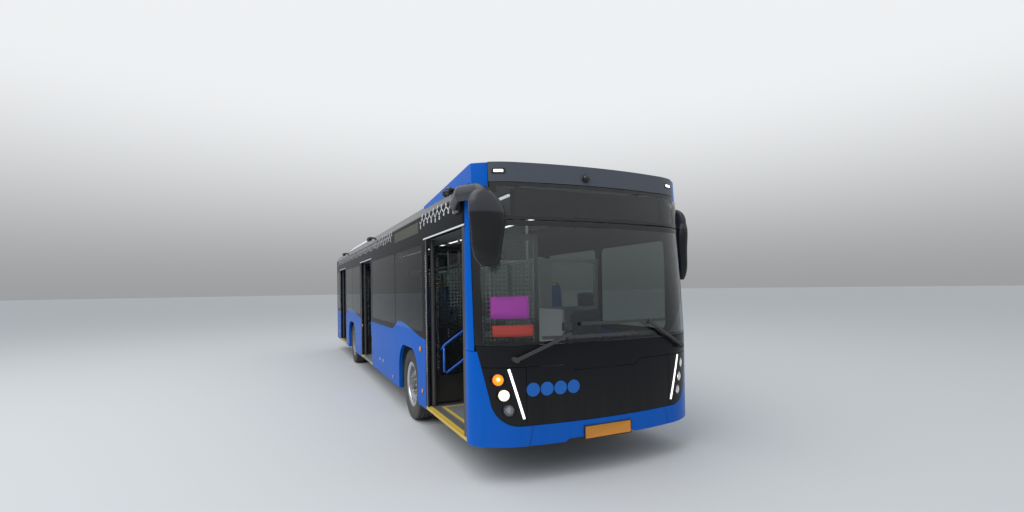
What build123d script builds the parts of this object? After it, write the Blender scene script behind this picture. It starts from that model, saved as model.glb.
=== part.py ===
"""A 12.4 m low-floor city bus with three inward-gliding double doors on its kerb side.

Millimetres, +Z up. The front faces -Y and the kerb side, with the doors, is -X. The origin lies on
the ground under the middle of the bus. The doors stand open, as they are modelled.
"""
import math
import os

from build123d import *

# Whole bus
length = 12400.0
width = 2550.0
half_width = width / 2
front_y = -length / 2
rear_y = length / 2
skirt_z = 335.0
waist_z = 1250.0
cant_z = 2650.0
wall = 50.0
seam = 5.0
fit = 0.3
past = 10.0

# Roof section: cove edge, shoulder and crown
cove_x = half_width - 78.0
cove_z = cant_z + 130.0
shoulder_x = half_width - 225.0
shoulder_z = cove_z + 42.0
crown_z = shoulder_z + 38.0

# Front in plan: a wide nose arc, a flank arc and a corner arc that ends on the side
nose_radius = 5000.0
flank_radius = 740.0
flank_inset = 550.8
flank_start = math.asin((half_width - flank_inset) / (nose_radius - flank_radius))
corner_start = math.radians(40.0)
front_rake = 0.07
mask_top_z = 2930.0
rear_corner_radius = 120.0
rear_split_y = rear_y - 145.0
corner_x = half_width - flank_inset
corner_radius = (half_width - corner_x - flank_radius * math.sin(corner_start)) / (
    1 - math.sin(corner_start)
)
corner_depth = nose_radius - (nose_radius - flank_radius) * math.cos(flank_start) - (
    flank_radius - corner_radius) * math.cos(corner_start)
split_behind = 23.732415
front_split_y = front_y + corner_depth + split_behind

# Floor and chassis
floor_z = 375.0
floor_thickness = 40.0
floor_front_y = front_y + 330.0
rail_x = 310.0
rail_width = 60.0
rail_low_z = 245.0
podium_y = front_y + 11470.0
podium_z = 800.0
podium_skin = 25.0

# Axles and wheels
front_axle_y = front_y + 2800.0
rear_axle_y = front_y + 8780.0
tyre_radius = 475.0
tyre_width = 275.0
rim_radius = 286.0
rim_flange_radius = 303.0
wheel_x = half_width - 177.0
twin_pitch = 310.0
kingpin_x = half_width - 375.0
stub_radius = 45.0
arch_top_z = 2 * tyre_radius + 42.0
front_arch_half = tyre_radius + 82.0
rear_arch_half = tyre_radius + 135.0
arch_corner = 360.0

# Door openings along the kerb side: name, distance of the front edge behind the nose
door_width = 1436.0
door_top_z = 2347.0
doors = (
    ("front_door", front_split_y - front_y),
    ("middle_door", 5770.0),
    ("rear_door", 9980.0),
)
post_radius = 30.0
post_u = 42.0
post_v = 86.0
leaf_thickness = 36.0
leaf_offset = 62.0
leaf_end = 46.0
leaf_meeting_gap = 12.0
leaf_low_z = 400.0
leaf_high_z = 2285.0
leaf_stile = 45.0
leaf_foot = 330.0
leaf_head = 60.0
pivot_radius = 8.0
arm_length = (door_width / 2 - leaf_meeting_gap / 2 - post_u + leaf_end) / 2
leaf_width = 2 * (arm_length - leaf_end)
strip_width = 76.0

# Window bands: rows of (first y, last y) as distances behind the nose
window_low_z = 1262.0
window_high_z = 2290.0
glass_thickness = 10.0
glass_lap = 22.0
window_radius = 70.0
left_windows = (
    (560.0, 1860.0),
    (1960.0, 3380.0),
    (3480.0, 4900.0),
    (5000.0, 6420.0),
    (6520.0, 7940.0),
    (8040.0, 9460.0),
    (9560.0, 10980.0),
    (11080.0, 12120.0),
)
right_windows = (
    (1985.0, 3540.0),
    (3620.0, 5640.0),
    (7320.0, 8560.0),
    (8640.0, 9850.0),
    (11540.0, 12120.0),
)


def block(x0, x1, y0, y1, z0, z1):
    """A box between two corners."""
    return Pos((x0 + x1) / 2, (y0 + y1) / 2, (z0 + z1) / 2) * Box(x1 - x0, y1 - y0, z1 - z0)


def mirrored(x0, x1, y0, y1, z0, z1):
    """The same box on the left and on the right."""
    return block(x0, x1, y0, y1, z0, z1) + block(-x1, -x0, y0, y1, z0, z1)


def one_side(side, inner, outer, y0, y1, z0, z1):
    """A box on the left (side +1) or the right (side -1), between two distances from the middle."""
    x0, x1 = sorted((side * inner, side * outer))
    return block(x0, x1, y0, y1, z0, z1)


def tube_x(x0, x1, y, z, radius):
    """A round bar along X."""
    return Pos((x0 + x1) / 2, y, z) * Rot(0, 90, 0) * Cylinder(radius, abs(x1 - x0))


def post_z(x, y, z0, z1, radius):
    """A round bar along Z."""
    return Pos(x, y, (z0 + z1) / 2) * Cylinder(radius, z1 - z0)


def plan(inset, shift):
    """The bus seen from above as a closed wire, drawn in by inset, its nose moved back by shift."""
    nose = Vector(0, front_y + nose_radius + shift)
    flank = nose + Vector(math.sin(flank_start), -math.cos(flank_start)) * (nose_radius - flank_radius)
    corner = flank + Vector(math.sin(corner_start), -math.cos(corner_start)) * (
        flank_radius - corner_radius
    )

    def on(centre, radius, angle, side=1):
        return (side * (centre.X + (radius - inset) * math.sin(angle)),
                centre.Y - (radius - inset) * math.cos(angle))

    rear = rear_y - inset
    side_x = half_width - inset
    rear_radius = rear_corner_radius - min(inset, 90.0)
    mid_c = (corner_start + math.pi / 2) / 2
    mid_f = (flank_start + corner_start) / 2
    edges = []
    edges.append(ThreePointArc(on(nose, nose_radius, flank_start, -1), (0, nose.Y - nose_radius + inset),
                               on(nose, nose_radius, flank_start)))
    for side in (1, -1):
        edges.append(ThreePointArc(on(flank, flank_radius, flank_start, side),
                                   on(flank, flank_radius, mid_f, side),
                                   on(flank, flank_radius, corner_start, side)))
        edges.append(ThreePointArc(on(corner, corner_radius, corner_start, side),
                                   on(corner, corner_radius, mid_c, side),
                                   on(corner, corner_radius, math.pi / 2, side)))
        x = side * side_x
        edges.append(Line((x, corner.Y), (x, rear - rear_radius)))
        turn = rear_radius * (1 - math.sqrt(0.5))
        edges.append(ThreePointArc((x, rear - rear_radius), (x - side * turn, rear - turn),
                                   (x - side * rear_radius, rear)))
    edges.append(Line((-side_x + rear_radius, rear), (side_x - rear_radius, rear)))
    return Wire(edges)


def hull(inset, top=mask_top_z, low=skirt_z):
    """The bus's outer form in plan and rake, drawn in by inset: upright to the waist, raked above."""
    lower_face = Pos(0, 0, low) * make_face(plan(inset, 0))
    lower = extrude(lower_face, waist_z - low)
    rake = front_rake * (mask_top_z - waist_z)
    sections = [
        Pos(0, 0, waist_z) * plan(inset, 0),
        Pos(0, 0, mask_top_z) * plan(inset, rake),
    ]
    upper = Solid.make_loft(sections, ruled=True)
    solid = lower + upper
    if top < mask_top_z:
        solid -= block(-2000, 2000, front_y - 100, rear_y + 100, top, mask_top_z + 100)
    return solid


def section(inset, low):
    """The body's cross-section as a prism along the bus: straight sides, a coved edge, a crown."""
    side = half_width - inset
    cove = cove_x - inset * 0.75
    shoulder = shoulder_x - inset * 0.5
    outline = [
        Line((-side, low), (side, low)),
        Line((side, low), (side, cant_z - inset * 0.2)),
        Line((side, cant_z - inset * 0.2), (cove, cove_z - inset * 0.7)),
        Line((cove, cove_z - inset * 0.7), (shoulder, shoulder_z - inset)),
        ThreePointArc((shoulder, shoulder_z - inset), (0, crown_z - inset), (-shoulder, shoulder_z - inset)),
        Line((-shoulder, shoulder_z - inset), (-cove, cove_z - inset * 0.7)),
        Line((-cove, cove_z - inset * 0.7), (-side, cant_z - inset * 0.2)),
        Line((-side, cant_z - inset * 0.2), (-side, low)),
    ]
    face = Plane.XZ * make_face(Wire(outline))
    return Pos(0, rear_y + 50, 0) * extrude(face, length + 100)


def front_view(points, radius=0.0):
    """A prism along Y from an outline in X and Z, mirrored points included, with rounded low corners."""
    face = Plane.XZ * make_face(Polyline(points, close=True))
    solid = Pos(0, front_y + 900, 0) * extrude(face, 1000)
    if radius:
        low = solid.edges().filter_by(Axis.Y).sort_by(Axis.Z)[:2]
        solid = fillet(low, radius)
    return solid


def front_view_deep(points):
    """A prism along Y from an outline in X and Z that also reaches ahead of the nose."""
    face = Plane.XZ * make_face(Polyline(points, close=True))
    return Pos(0, front_y + 400, 0) * extrude(face, 600)


def arch(y, half, corner, top, x0, x1):
    """A wheel arch as a cutter: upright sides under a rounded top."""
    cutter = block(x0, x1, y - half, y + half, 0, top)
    return fillet(cutter.edges().filter_by(Axis.X).sort_by(Axis.Z)[-2:], corner)


def side_frame(x_outer, y0, y1, z0, z1, radius, depth):
    """A rounded window-shaped prism across the side at x_outer, depth thick towards the middle."""
    inner = x_outer - math.copysign(depth, x_outer)
    body = block(min(x_outer, inner), max(x_outer, inner), y0, y1, z0, z1)
    return fillet(body.edges().filter_by(Axis.X), radius)


nodes = {}

# Body shell, from one hollow form that is cut into the real panels
outer = hull(0) & section(0, skirt_z)
inner = hull(wall, low=skirt_z - 100) & section(wall, skirt_z - 100)
shell = outer - inner

black_edge = [(half_width - 190, 515), (half_width - 39, waist_z)]
hood_z = 1050.0
cowl_z = 1240.0
glass_low_z = 1245.0
glass_high_z = 2385.0
sign_low_z = 2395.0
sign_high_z = 2738.0
pillar_x = half_width - 34.0
mask_x = half_width - 190.0
fairing_low_z = 2702.0
nose_skin = 30.0
nose_inner = hull(nose_skin, low=skirt_z - 100)
nose_form = hull(0)
nose_shell = nose_form - nose_inner
glass_shell = nose_form - hull(12.0, low=skirt_z - 100)
nose_zone = block(-half_width, half_width, front_y - past, front_split_y, skirt_z, mask_top_z)


def black_outline(low, high, gap):
    """The black front field between two heights: its sides lean out, drawn in by gap."""
    (x0, z0), (x1, z1) = black_edge
    slope = (x1 - x0) / (z1 - z0)
    low_x = x0 + (low - z0) * slope - gap
    high_x = x0 + (high - z0) * slope - gap
    return [(-low_x, low), (low_x, low), (high_x, high), (-high_x, high)]


low_field = front_view(black_outline(black_edge[0][1] + seam, hood_z - seam, fit), 250)
cowl_field = front_view(black_outline(hood_z, cowl_z, fit))
blue_cut = front_view(black_outline(black_edge[0][1], waist_z, 0), 250)

# The black lower front: a hinged middle panel between two fixed lamp panels. The cowl's lower edge
# steps down over the hinge.
flap_x = 820.0
tab_low_z = 996.0
tab_half_x = (350.0, 430.0)
hinge_pin = 2.2
hinge_reach = 120.0
hinge_y = front_y + hinge_pin + fit
hinge_z = tab_low_z - seam / 2


def cowl_tab(gap):
    """The step in the cowl's lower edge, seen from the front and grown by gap."""
    low_x = tab_half_x[0] + gap
    high_x = tab_half_x[1] + gap
    low = tab_low_z - gap
    return front_view([(-low_x, low), (low_x, low), (high_x, hood_z + 1), (-high_x, hood_z + 1)])


black_low = nose_shell & nose_zone & low_field
middle = block(-flap_x, flap_x, front_y - past, front_split_y, 0, waist_z)
nodes["front_service_panel"] = (black_low & middle) - cowl_tab(seam)
nodes["front_lamp_panels"] = black_low - block(
    -flap_x - seam, flap_x + seam, front_y - past, front_split_y, 0, waist_z)
cowl = nose_shell & nose_zone & (cowl_field + cowl_tab(0))
flap_pin = tube_x(-hinge_reach, hinge_reach, hinge_y, hinge_z, hinge_pin)
nodes["cowl_panel"] = Compound(children=[cowl, flap_pin])

bumper_x = 780.0
blue_low = (nose_form - hull(nose_skin + 10, low=skirt_z - 100)) & nose_zone
blue_low -= block(-2000, 2000, front_y - past, front_split_y, waist_z - 60, mask_top_z)
blue_low -= blue_cut
nodes["front_bumper"] = blue_low & block(-bumper_x, bumper_x, front_y - past, front_split_y, 0, waist_z)
lip_step = [(-450, skirt_z - 1), (-410, skirt_z + 28), (300, skirt_z + 28), (340, skirt_z - 1)]
nodes["front_bumper"] -= front_view(lip_step)
nodes["front_corner_panels"] = blue_low - block(
    -bumper_x - fit, bumper_x + fit, front_y - past, front_split_y, 0, waist_z)

pillar_zone = mirrored(pillar_x, half_width, front_y, front_split_y, waist_z - 55, 2700)
pillars = outer & pillar_zone
pillar_posts = mirrored(half_width - 110, pillar_x + 5, front_split_y - 75, front_split_y, waist_z - 55, 2600)
nodes["front_corner_panels"] += pillars + (pillar_posts & hull(12.0 + fit))

screen_x = pillar_x - 4
screen = glass_shell & block(-screen_x, screen_x, front_y - past, front_split_y, glass_low_z, glass_high_z)
sign_glass = (glass_shell & section(0, skirt_z)) & block(
    -screen_x, screen_x, front_y - past, front_split_y - 40, sign_low_z, sign_high_z)
sign_glass -= mirrored(mask_x - 2, half_width, front_y, front_split_y, fairing_low_z - 5, sign_high_z)
nodes["front_glass"] = Compound(children=[screen, sign_glass])

# Route displays: a box hung from the roof's front edge behind the glass, and one let into the side
sign_x = 840.0
sign_z = (2425.0, 2700.0)
sign_y = (front_y + 215.0, front_y + 330.0)
roof_front_y = front_split_y + 50.0
side_sign_y = (front_y + 2140.0, front_y + 3600.0)
side_sign_z = (2465.0, 2605.0)
side_sign_depth = 38.0
hanger_x = (700.0, 740.0)
hanger_z = (2650.0, 2690.0, 2838.0)
hanger_back_y = roof_front_y - fit
sign_box = block(-sign_x, sign_x, *sign_y, *sign_z)
for side in (1, -1):
    sign_box += one_side(side, *hanger_x, sign_y[1], hanger_back_y, hanger_z[0], hanger_z[1])
    sign_box += one_side(side, *hanger_x, hanger_back_y - 60, hanger_back_y, hanger_z[0], hanger_z[2])
side_sign = block(-half_width + 2, -half_width + side_sign_depth, *side_sign_y, *side_sign_z)
nodes["route_displays"] = Compound(children=[sign_box, side_sign])

# Upper mask and the blue fairing behind it
mask_back_y = front_y + 620.0
mask_low_z = sign_high_z + 7
cap_form = nose_form - block(-2000, 2000, front_y - 100, rear_y + 100, 0, mask_low_z)
mask_block = cap_form & block(-mask_x, mask_x, front_y, mask_back_y, mask_low_z, mask_top_z)
mask_hollow = hull(wall, top=mask_top_z - 35) & block(
    -mask_x + 30, mask_x - 30, front_y, mask_back_y + 10, 0, mask_top_z - 35)
mask_block -= section(-fit, 0) & block(-2000, 2000, front_y + 465, rear_y, 0, 3000)
nodes["front_mask"] = mask_block - mask_hollow

fairing_end_y = front_y + 2070.0
fairing_x = half_width - 60.0
fairing_back_z = 2785.0
fairing_side = [
    (front_y, fairing_low_z),
    (fairing_end_y, fairing_low_z),
    (fairing_end_y, fairing_back_z),
    (front_y + 430, mask_top_z - 4),
    (front_y, mask_top_z - 4),
]
fairing_prism = Plane.YZ * make_face(Polyline(fairing_side, close=True))
fairing_prism = Pos(-fairing_x, 0, 0) * extrude(fairing_prism, 2 * fairing_x)
fairing = (hull(8.0) & fairing_prism) - section(-fit, 0)
fairing_front = mirrored(mask_x + seam, fairing_x, front_y, front_split_y - 4, fairing_low_z, mask_top_z)
front_caps = (hull(8.0) & fairing_prism & fairing_front) - hull(70.0)
fairing -= block(-mask_x - seam, mask_x + seam, front_y - 50, mask_back_y + seam, 0, mask_top_z + 50)
fairing -= block(-fairing_x - 50, fairing_x + 50, front_y - 50, front_split_y - 4, 0, mask_top_z + 50)
nodes["roof_fairing"] = fairing + front_caps

# Side walls
sides = shell & block(-half_width, half_width, front_split_y, rear_split_y, skirt_z, cant_z - 12)
left_wall = sides & block(0, half_width, front_y, rear_y, 0, cant_z)
right_wall = sides & block(-half_width, 0, front_y, rear_y, 0, cant_z)
front_cut = arch(front_axle_y, front_arch_half, arch_corner, arch_top_z, -half_width - 25, half_width + 25)
rear_cut = arch(rear_axle_y, rear_arch_half, arch_corner, arch_top_z + 8, -half_width - 25, half_width + 25)
left_wall -= front_cut
left_wall -= rear_cut
right_wall -= front_cut
right_wall -= rear_cut

glass = []
for side, rows in ((1, left_windows), (-1, right_windows)):
    for first, last in rows:
        y0 = front_y + first
        y1 = front_y + last
        face_x = side * half_width
        opening = side_frame(face_x, y0, y1, window_low_z, window_high_z, window_radius, wall + 5)
        rebate = side_frame(face_x, y0 - glass_lap, y1 + glass_lap, window_low_z - glass_lap,
                            window_high_z + glass_lap, window_radius + glass_lap, glass_thickness)
        pane = side_frame(face_x, y0 - glass_lap + 3, y1 + glass_lap - 3, window_low_z - glass_lap + 3,
                          window_high_z + glass_lap - 3, window_radius + glass_lap - 3, glass_thickness)
        glass.append(pane)
        if side == 1:
            left_wall = left_wall - opening - rebate
        else:
            right_wall = right_wall - opening - rebate

for name, front_edge in doors:
    y0 = front_y + front_edge
    right_wall -= block(-half_width - past, -half_width + 2 * wall, y0, y0 + door_width, 0, door_top_z)

nodes["left_side_wall"] = left_wall
right_wall -= block(-half_width - past, -half_width + side_sign_depth + fit,
                    side_sign_y[0] - fit, side_sign_y[1] + fit, side_sign_z[0] - fit, side_sign_z[1] + fit)
lower_panels = right_wall & block(-half_width, 0, front_y, rear_y, 0, door_top_z)
cant_strip = right_wall & block(-half_width, 0, front_y, rear_y, door_top_z + fit, cant_z)
nodes["right_side_wall"] = Compound(children=[*lower_panels.solids(), *cant_strip.solids()])

# Roof, one coved panel from the mask to the rear wall
roof = shell & block(-half_width, half_width, roof_front_y, rear_split_y, cant_z - 12 + fit, 3000)
vent_places = (3700.0, 7600.0)
vent_x = 330.0
vent_half = 430.0
vent_rise = 38.0
for distance in vent_places:
    y = front_y + distance
    lid = block(-vent_x, vent_x, y - vent_half, y + vent_half, crown_z - 30, crown_z + vent_rise)
    roof += chamfer(lid.faces().sort_by(Axis.Z)[-1].edges(), vent_rise - 8)
nodes["roof"] = roof

# Rear end
rear_hatch_x = 860.0
rear_hatch_z = (720.0, 1380.0)
rear_window_x = 820.0
rear_window_z = (1560.0, 2200.0)
lamp_x = half_width - 145.0
lamp_heights = (1500.0, 1330.0, 1160.0, 990.0)
lamp_radius = 55.0
rear = shell & block(-half_width, half_width, rear_split_y, rear_y, 690, 3000)
rear -= block(-rear_hatch_x, rear_hatch_x, rear_split_y, rear_y + 5, rear_hatch_z[0], rear_hatch_z[1])
rear_hole = block(-rear_window_x, rear_window_x, rear_split_y, rear_y + past, *rear_window_z)
rear -= fillet(rear_hole.edges().filter_by(Axis.Y), 80)
rebate_x = rear_window_x + glass_lap
rebate_z = (rear_window_z[0] - glass_lap, rear_window_z[1] + glass_lap)
rear_rebate = block(-rebate_x, rebate_x, rear_y - glass_thickness, rear_y + past, *rebate_z)
rear -= fillet(rear_rebate.edges().filter_by(Axis.Y), 100)
for z in lamp_heights:
    for side in (1, -1):
        rear -= Pos(side * lamp_x, rear_y - 15, z) * Rot(90, 0, 0) * Cylinder(lamp_radius + 1, 32)
rear_pin = (seam + 1) / 2 - fit
rear_hinge_y = rear_y - rear_pin - fit
rear_hinge_z = rear_hatch_z[1] - (seam + 1) / 2
rear_rod = tube_x(-rear_hatch_x + 60, rear_hatch_x - 60, rear_hinge_y, rear_hinge_z, rear_pin)
nodes["rear_wall"] = Compound(children=[rear, rear_rod])
rear_pane = block(-rebate_x + 3, rebate_x - 3, rear_y - glass_thickness, rear_y,
                  rebate_z[0] + 3, rebate_z[1] - 3)
nodes["saloon_windows"] = Compound(children=glass + [fillet(rear_pane.edges().filter_by(Axis.Y), 97)])
hatch = block(-rear_hatch_x + seam + 1, rear_hatch_x - seam - 1, rear_y - 40, rear_y,
              rear_hatch_z[0] + seam + 1, rear_hatch_z[1] - seam - 1)
hatch = fillet(hatch.edges().filter_by(Axis.Y), 40)
louvre_x = 640.0
louvre_height = 20.0
louvre_pitch = 42.0
louvre_count = 9
louvre_low_z = 800.0
louvre_depth = 26.0
louvre_fall = 8.0
for i in range(louvre_count):
    z = louvre_low_z + i * louvre_pitch
    top = z + louvre_height
    outline = [(rear_y - louvre_depth, z + louvre_fall), (rear_y + 1, z), (rear_y + 1, top),
               (rear_y - louvre_depth, top)]
    slot = Plane.YZ * make_face(Polyline(outline, close=True))
    hatch -= Pos(-louvre_x, 0, 0) * extrude(slot, 2 * louvre_x)
nodes["rear_service_hatch"] = hatch
nodes["rear_bumper"] = shell & block(-half_width, half_width, rear_split_y, rear_y, skirt_z, 690 - seam)
rear_lamps = []
for z in lamp_heights:
    for side in (1, -1):
        rear_lamps.append(Pos(side * lamp_x, rear_y - 15, z) * Rot(90, 0, 0) * Cylinder(lamp_radius, 30))

# Roof equipment: the air conditioner over the rear axle
cooler_y = (front_y + 9400.0, front_y + 12050.0)
cooler_x = 930.0
cooler_top_z = 3060.0
cooler = block(-cooler_x, cooler_x, cooler_y[0], cooler_y[1], crown_z - 70, cooler_top_z)
cooler = chamfer(cooler.edges().filter_by(Axis.Y).sort_by(Axis.Z)[-2:], 110)
cooler = chamfer(cooler.faces().sort_by(Axis.Z)[-1].edges().filter_by(Axis.X), 90)
cooler -= section(0, 0)
fan_radius = 190.0
fan_hub = 62.0
fan_depth = 32.0
fan_x = 400.0
fan_pitch = 780.0
for row in (-1, 0, 1):
    for side in (1, -1):
        y = sum(cooler_y) / 2 + row * fan_pitch
        well = post_z(side * fan_x, y, cooler_top_z - fan_depth, cooler_top_z + 1, fan_radius)
        cooler -= well - post_z(side * fan_x, y, cooler_top_z - fan_depth, cooler_top_z + 1, fan_hub)
nodes["roof_air_conditioner"] = cooler

# Lower front lamps, set into the lamp panels: x, z, radius
front_lamps = (
    (half_width - 207.0, 938.0, 62.0),
    (half_width - 254.0, 798.0, 62.0),
    (half_width - 293.0, 664.0, 58.0),
)
lamp_solids = []
for x, z, radius in front_lamps:
    for side in (1, -1):
        rod = Pos(side * x, front_y + 300, z) * Rot(90, 0, 0) * Cylinder(radius, 600)
        socket = Pos(side * x, front_y + 300, z) * Rot(90, 0, 0) * Cylinder(radius + fit, 600)
        nodes["front_lamp_panels"] -= socket
        lamp_solids.append((nose_form - hull(55.0, low=skirt_z - 100)) & nose_zone & rod)
nodes["lamps"] = Compound(children=lamp_solids + rear_lamps)

# Wheel boxes: pressed covers over the wheels, open below and to the outside
box_x = half_width - 700.0
box_skin = 20.0
box_top_z = 2 * tyre_radius + 80.0
floor_x = half_width - wall - 1
front_box_half = tyre_radius + 130.0
rear_box_half = tyre_radius + 165.0
wheel_boxes = []
for y, half in ((front_axle_y, front_box_half), (rear_axle_y, rear_box_half)):
    for side in (1, -1):
        cover = one_side(side, box_x, floor_x, y - half, y + half, floor_z - floor_thickness, box_top_z)
        cover -= one_side(side, box_x + box_skin, half_width, y - half + box_skin, y + half - box_skin,
                          0, box_top_z - box_skin)
        wheel_boxes.append(cover)
nodes["wheel_boxes"] = Compound(children=wheel_boxes)

# Floor: plates laid edge to edge between the wheel boxes, a sill in each doorway and the podium
bay_x = 318.0
bay_y = front_y + 5180.0
front_box_y = (front_axle_y - front_box_half, front_axle_y + front_box_half)
rear_box_y = (rear_axle_y - rear_box_half, rear_axle_y + rear_box_half)
# columns: x from, x to, y from, y to
floor_plates = (
    (-floor_x, floor_x, floor_front_y, front_box_y[0]),
    (-box_x, box_x, front_box_y[0], front_box_y[1]),
    (-floor_x, floor_x, front_box_y[1], bay_y),
    (-floor_x, bay_x, bay_y, rear_box_y[0]),
    (bay_x, floor_x, bay_y, rear_box_y[0]),
    (-box_x, box_x, rear_box_y[0], rear_box_y[1]),
    (-floor_x, floor_x, rear_box_y[1], podium_y),
)
floor_back_y = rear_split_y - 60
ramp_half = 450.0
ramp_long = 800.0
ramp_thickness = 18.0
ramp_barrel = 6.0
ramp_hinge_x = -half_width + 14.0
ramp_hinge_z = floor_z - ramp_barrel
ramp_y = front_y + doors[1][1] + door_width / 2
ramp_play = 8.0
ramp_recess = block(-half_width - past, ramp_hinge_x + ramp_long + ramp_play, ramp_y - ramp_half - ramp_play,
                    ramp_y + ramp_half + ramp_play, floor_z - ramp_thickness - fit, floor_z + past)
nose_plan = hull(wall + 12, low=0)
floor = []
for x0, x1, y0, y1 in floor_plates:
    plate = block(x0 + fit / 2, x1 - fit / 2, y0 + fit / 2, y1 - fit / 2, floor_z - floor_thickness, floor_z)
    floor.append((plate & nose_plan) - ramp_recess)
sill_gap = 3.0
for name, front_edge in doors:
    y0 = front_y + front_edge + sill_gap
    y1 = front_y + front_edge + door_width - sill_gap
    sill = block(-half_width + 8, -floor_x - fit / 2, y0, y1, floor_z - floor_thickness, floor_z)
    floor.append(sill - ramp_recess)
floor.append(block(-floor_x, floor_x, podium_y, floor_back_y, podium_z - podium_skin, podium_z))
floor.append(block(-floor_x, floor_x, podium_y + fit / 2, podium_y + podium_skin, floor_z - floor_thickness,
                   podium_z - podium_skin - fit))
for side in (1, -1):
    floor.append(one_side(side, floor_x - podium_skin, floor_x, podium_y + podium_skin + fit, floor_back_y,
                          floor_z - floor_thickness, podium_z - podium_skin - fit))
nodes["floor"] = Compound(children=floor)
ramp = block(ramp_hinge_x, ramp_hinge_x + ramp_long, ramp_y - ramp_half, ramp_y + ramp_half,
             floor_z - ramp_thickness, floor_z)
ramp += Pos(ramp_hinge_x, ramp_y, ramp_hinge_z) * Rot(90, 0, 0) * Cylinder(ramp_barrel, 2 * ramp_half)
nodes["wheelchair_ramp"] = ramp

# Chassis frame under the floor: two rails and cross-members
cross_members = (900.0, 2050.0, 3560.0, 4700.0, 5900.0, 7000.0, 7950.0, 9600.0, 10700.0, 11350.0)
frame_top = floor_z - floor_thickness
cross_reach = half_width - 125.0
cross_width = 60.0
rail_inner_x = rail_x - rail_width / 2
rail_outer_x = rail_x + rail_width / 2
rail_ends_y = (front_y + 450.0, rear_y - 250.0)
tie_down_radius = 20.0
tie_down_inset = 35.0
tie_down_z = (rail_low_z + frame_top) / 2
frame = []
for side in (1, -1):
    rail = one_side(side, rail_inner_x, rail_outer_x, *rail_ends_y, rail_low_z, frame_top - fit)
    for y in (rail_ends_y[0] + tie_down_inset, rail_ends_y[1] - tie_down_inset):
        eye_ends = (side * (rail_inner_x - past), side * (rail_outer_x + past))
        rail -= tube_x(*eye_ends, y, tie_down_z, tie_down_radius)
    frame.append(rail)
cross_low_z = rail_low_z + 20.0
spans = (
    (-cross_reach, -rail_outer_x - fit),
    (-rail_inner_x + fit, rail_inner_x - fit),
    (rail_outer_x + fit, cross_reach),
)
for distance in cross_members:
    y0 = front_y + distance - cross_width / 2
    for x0, x1 in spans:
        frame.append(block(x0, x1, y0, y0 + cross_width, cross_low_z, frame_top - fit))
nodes["chassis_frame"] = Compound(children=frame)

# The engine and gearbox as one block under the podium
engine_x = (-520.0, 620.0)
engine_y = (podium_y + 60.0, rear_split_y - 90.0)
nodes["engine"] = block(*engine_x, *engine_y, frame_top + fit, podium_z - podium_skin - 30)

# Axles: a dropped front beam with a fork at each end, and a low rear housing with arms for its springs
hub_z = tyre_radius
axle_low_z = 165.0
beam_top_z = 235.0
beam_half = 60.0
fork_half = 48.0
fork_x = kingpin_x - 70.0
fork_eyes = ((hub_z - 235, hub_z - 190), (hub_z + 180, hub_z + 225))
beam = block(-fork_x, fork_x, front_axle_y - beam_half, front_axle_y + beam_half, axle_low_z, beam_top_z)
for side in (1, -1):
    for z0, z1 in fork_eyes:
        beam += one_side(side, fork_x, kingpin_x + fork_half, front_axle_y - fork_half,
                         front_axle_y + fork_half, z0, z1)
    beam += one_side(side, fork_x - 60, fork_x, front_axle_y - beam_half, front_axle_y + beam_half,
                     axle_low_z, fork_eyes[1][1])

# Steering knuckles: a kingpin between the fork's eyes, a stub axle and a steering arm
kingpin_radius = 42.0
arm_x = (kingpin_x + 12, kingpin_x + 50)
arm_z = (hub_z - 175, hub_z - 135)
arm_long = 150.0
for side, label in ((1, "left"), (-1, "right")):
    knuckle = post_z(side * kingpin_x, front_axle_y, fork_eyes[0][1] + fit, fork_eyes[1][0] - fit,
                     kingpin_radius)
    knuckle += tube_x(side * kingpin_x, side * (wheel_x + 60), front_axle_y, hub_z, stub_radius)
    knuckle += one_side(side, *arm_x, front_axle_y - arm_long, front_axle_y, *arm_z)
    nodes[label + "_knuckle"] = knuckle

housing_half = 95.0
housing_top_z = 240.0
riser_x = (box_x + box_skin + 6, box_x + box_skin + 46)
riser_top_z = hub_z + 95
spring_arm_x = 440.0
spring_arm_top_z = 200.0
housing = block(-riser_x[1], riser_x[1], rear_axle_y - housing_half, rear_axle_y + housing_half,
                axle_low_z, housing_top_z)
for side in (1, -1):
    housing += one_side(side, *riser_x, rear_axle_y - housing_half, rear_axle_y + housing_half,
                        axle_low_z, riser_top_z)
    housing += one_side(side, spring_arm_x - 45, spring_arm_x + 45, rear_axle_y - 500, rear_axle_y + 500,
                        axle_low_z, spring_arm_top_z)
    housing += tube_x(side * riser_x[0], side * (wheel_x + 60), rear_axle_y, hub_z, stub_radius)
nodes["axles"] = Compound(children=[beam, housing])

# Air springs: x, y, height of the foot
spring_radius = 85.0
spring_table = (
    (430.0, front_axle_y, beam_top_z),
    (spring_arm_x, rear_axle_y - 420, spring_arm_top_z),
    (spring_arm_x, rear_axle_y + 420, spring_arm_top_z),
)
springs = []
for x, y, foot_z in spring_table:
    for side in (1, -1):
        springs.append(post_z(side * x, y, foot_z, frame_top, spring_radius))
nodes["air_springs"] = Compound(children=springs)


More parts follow.
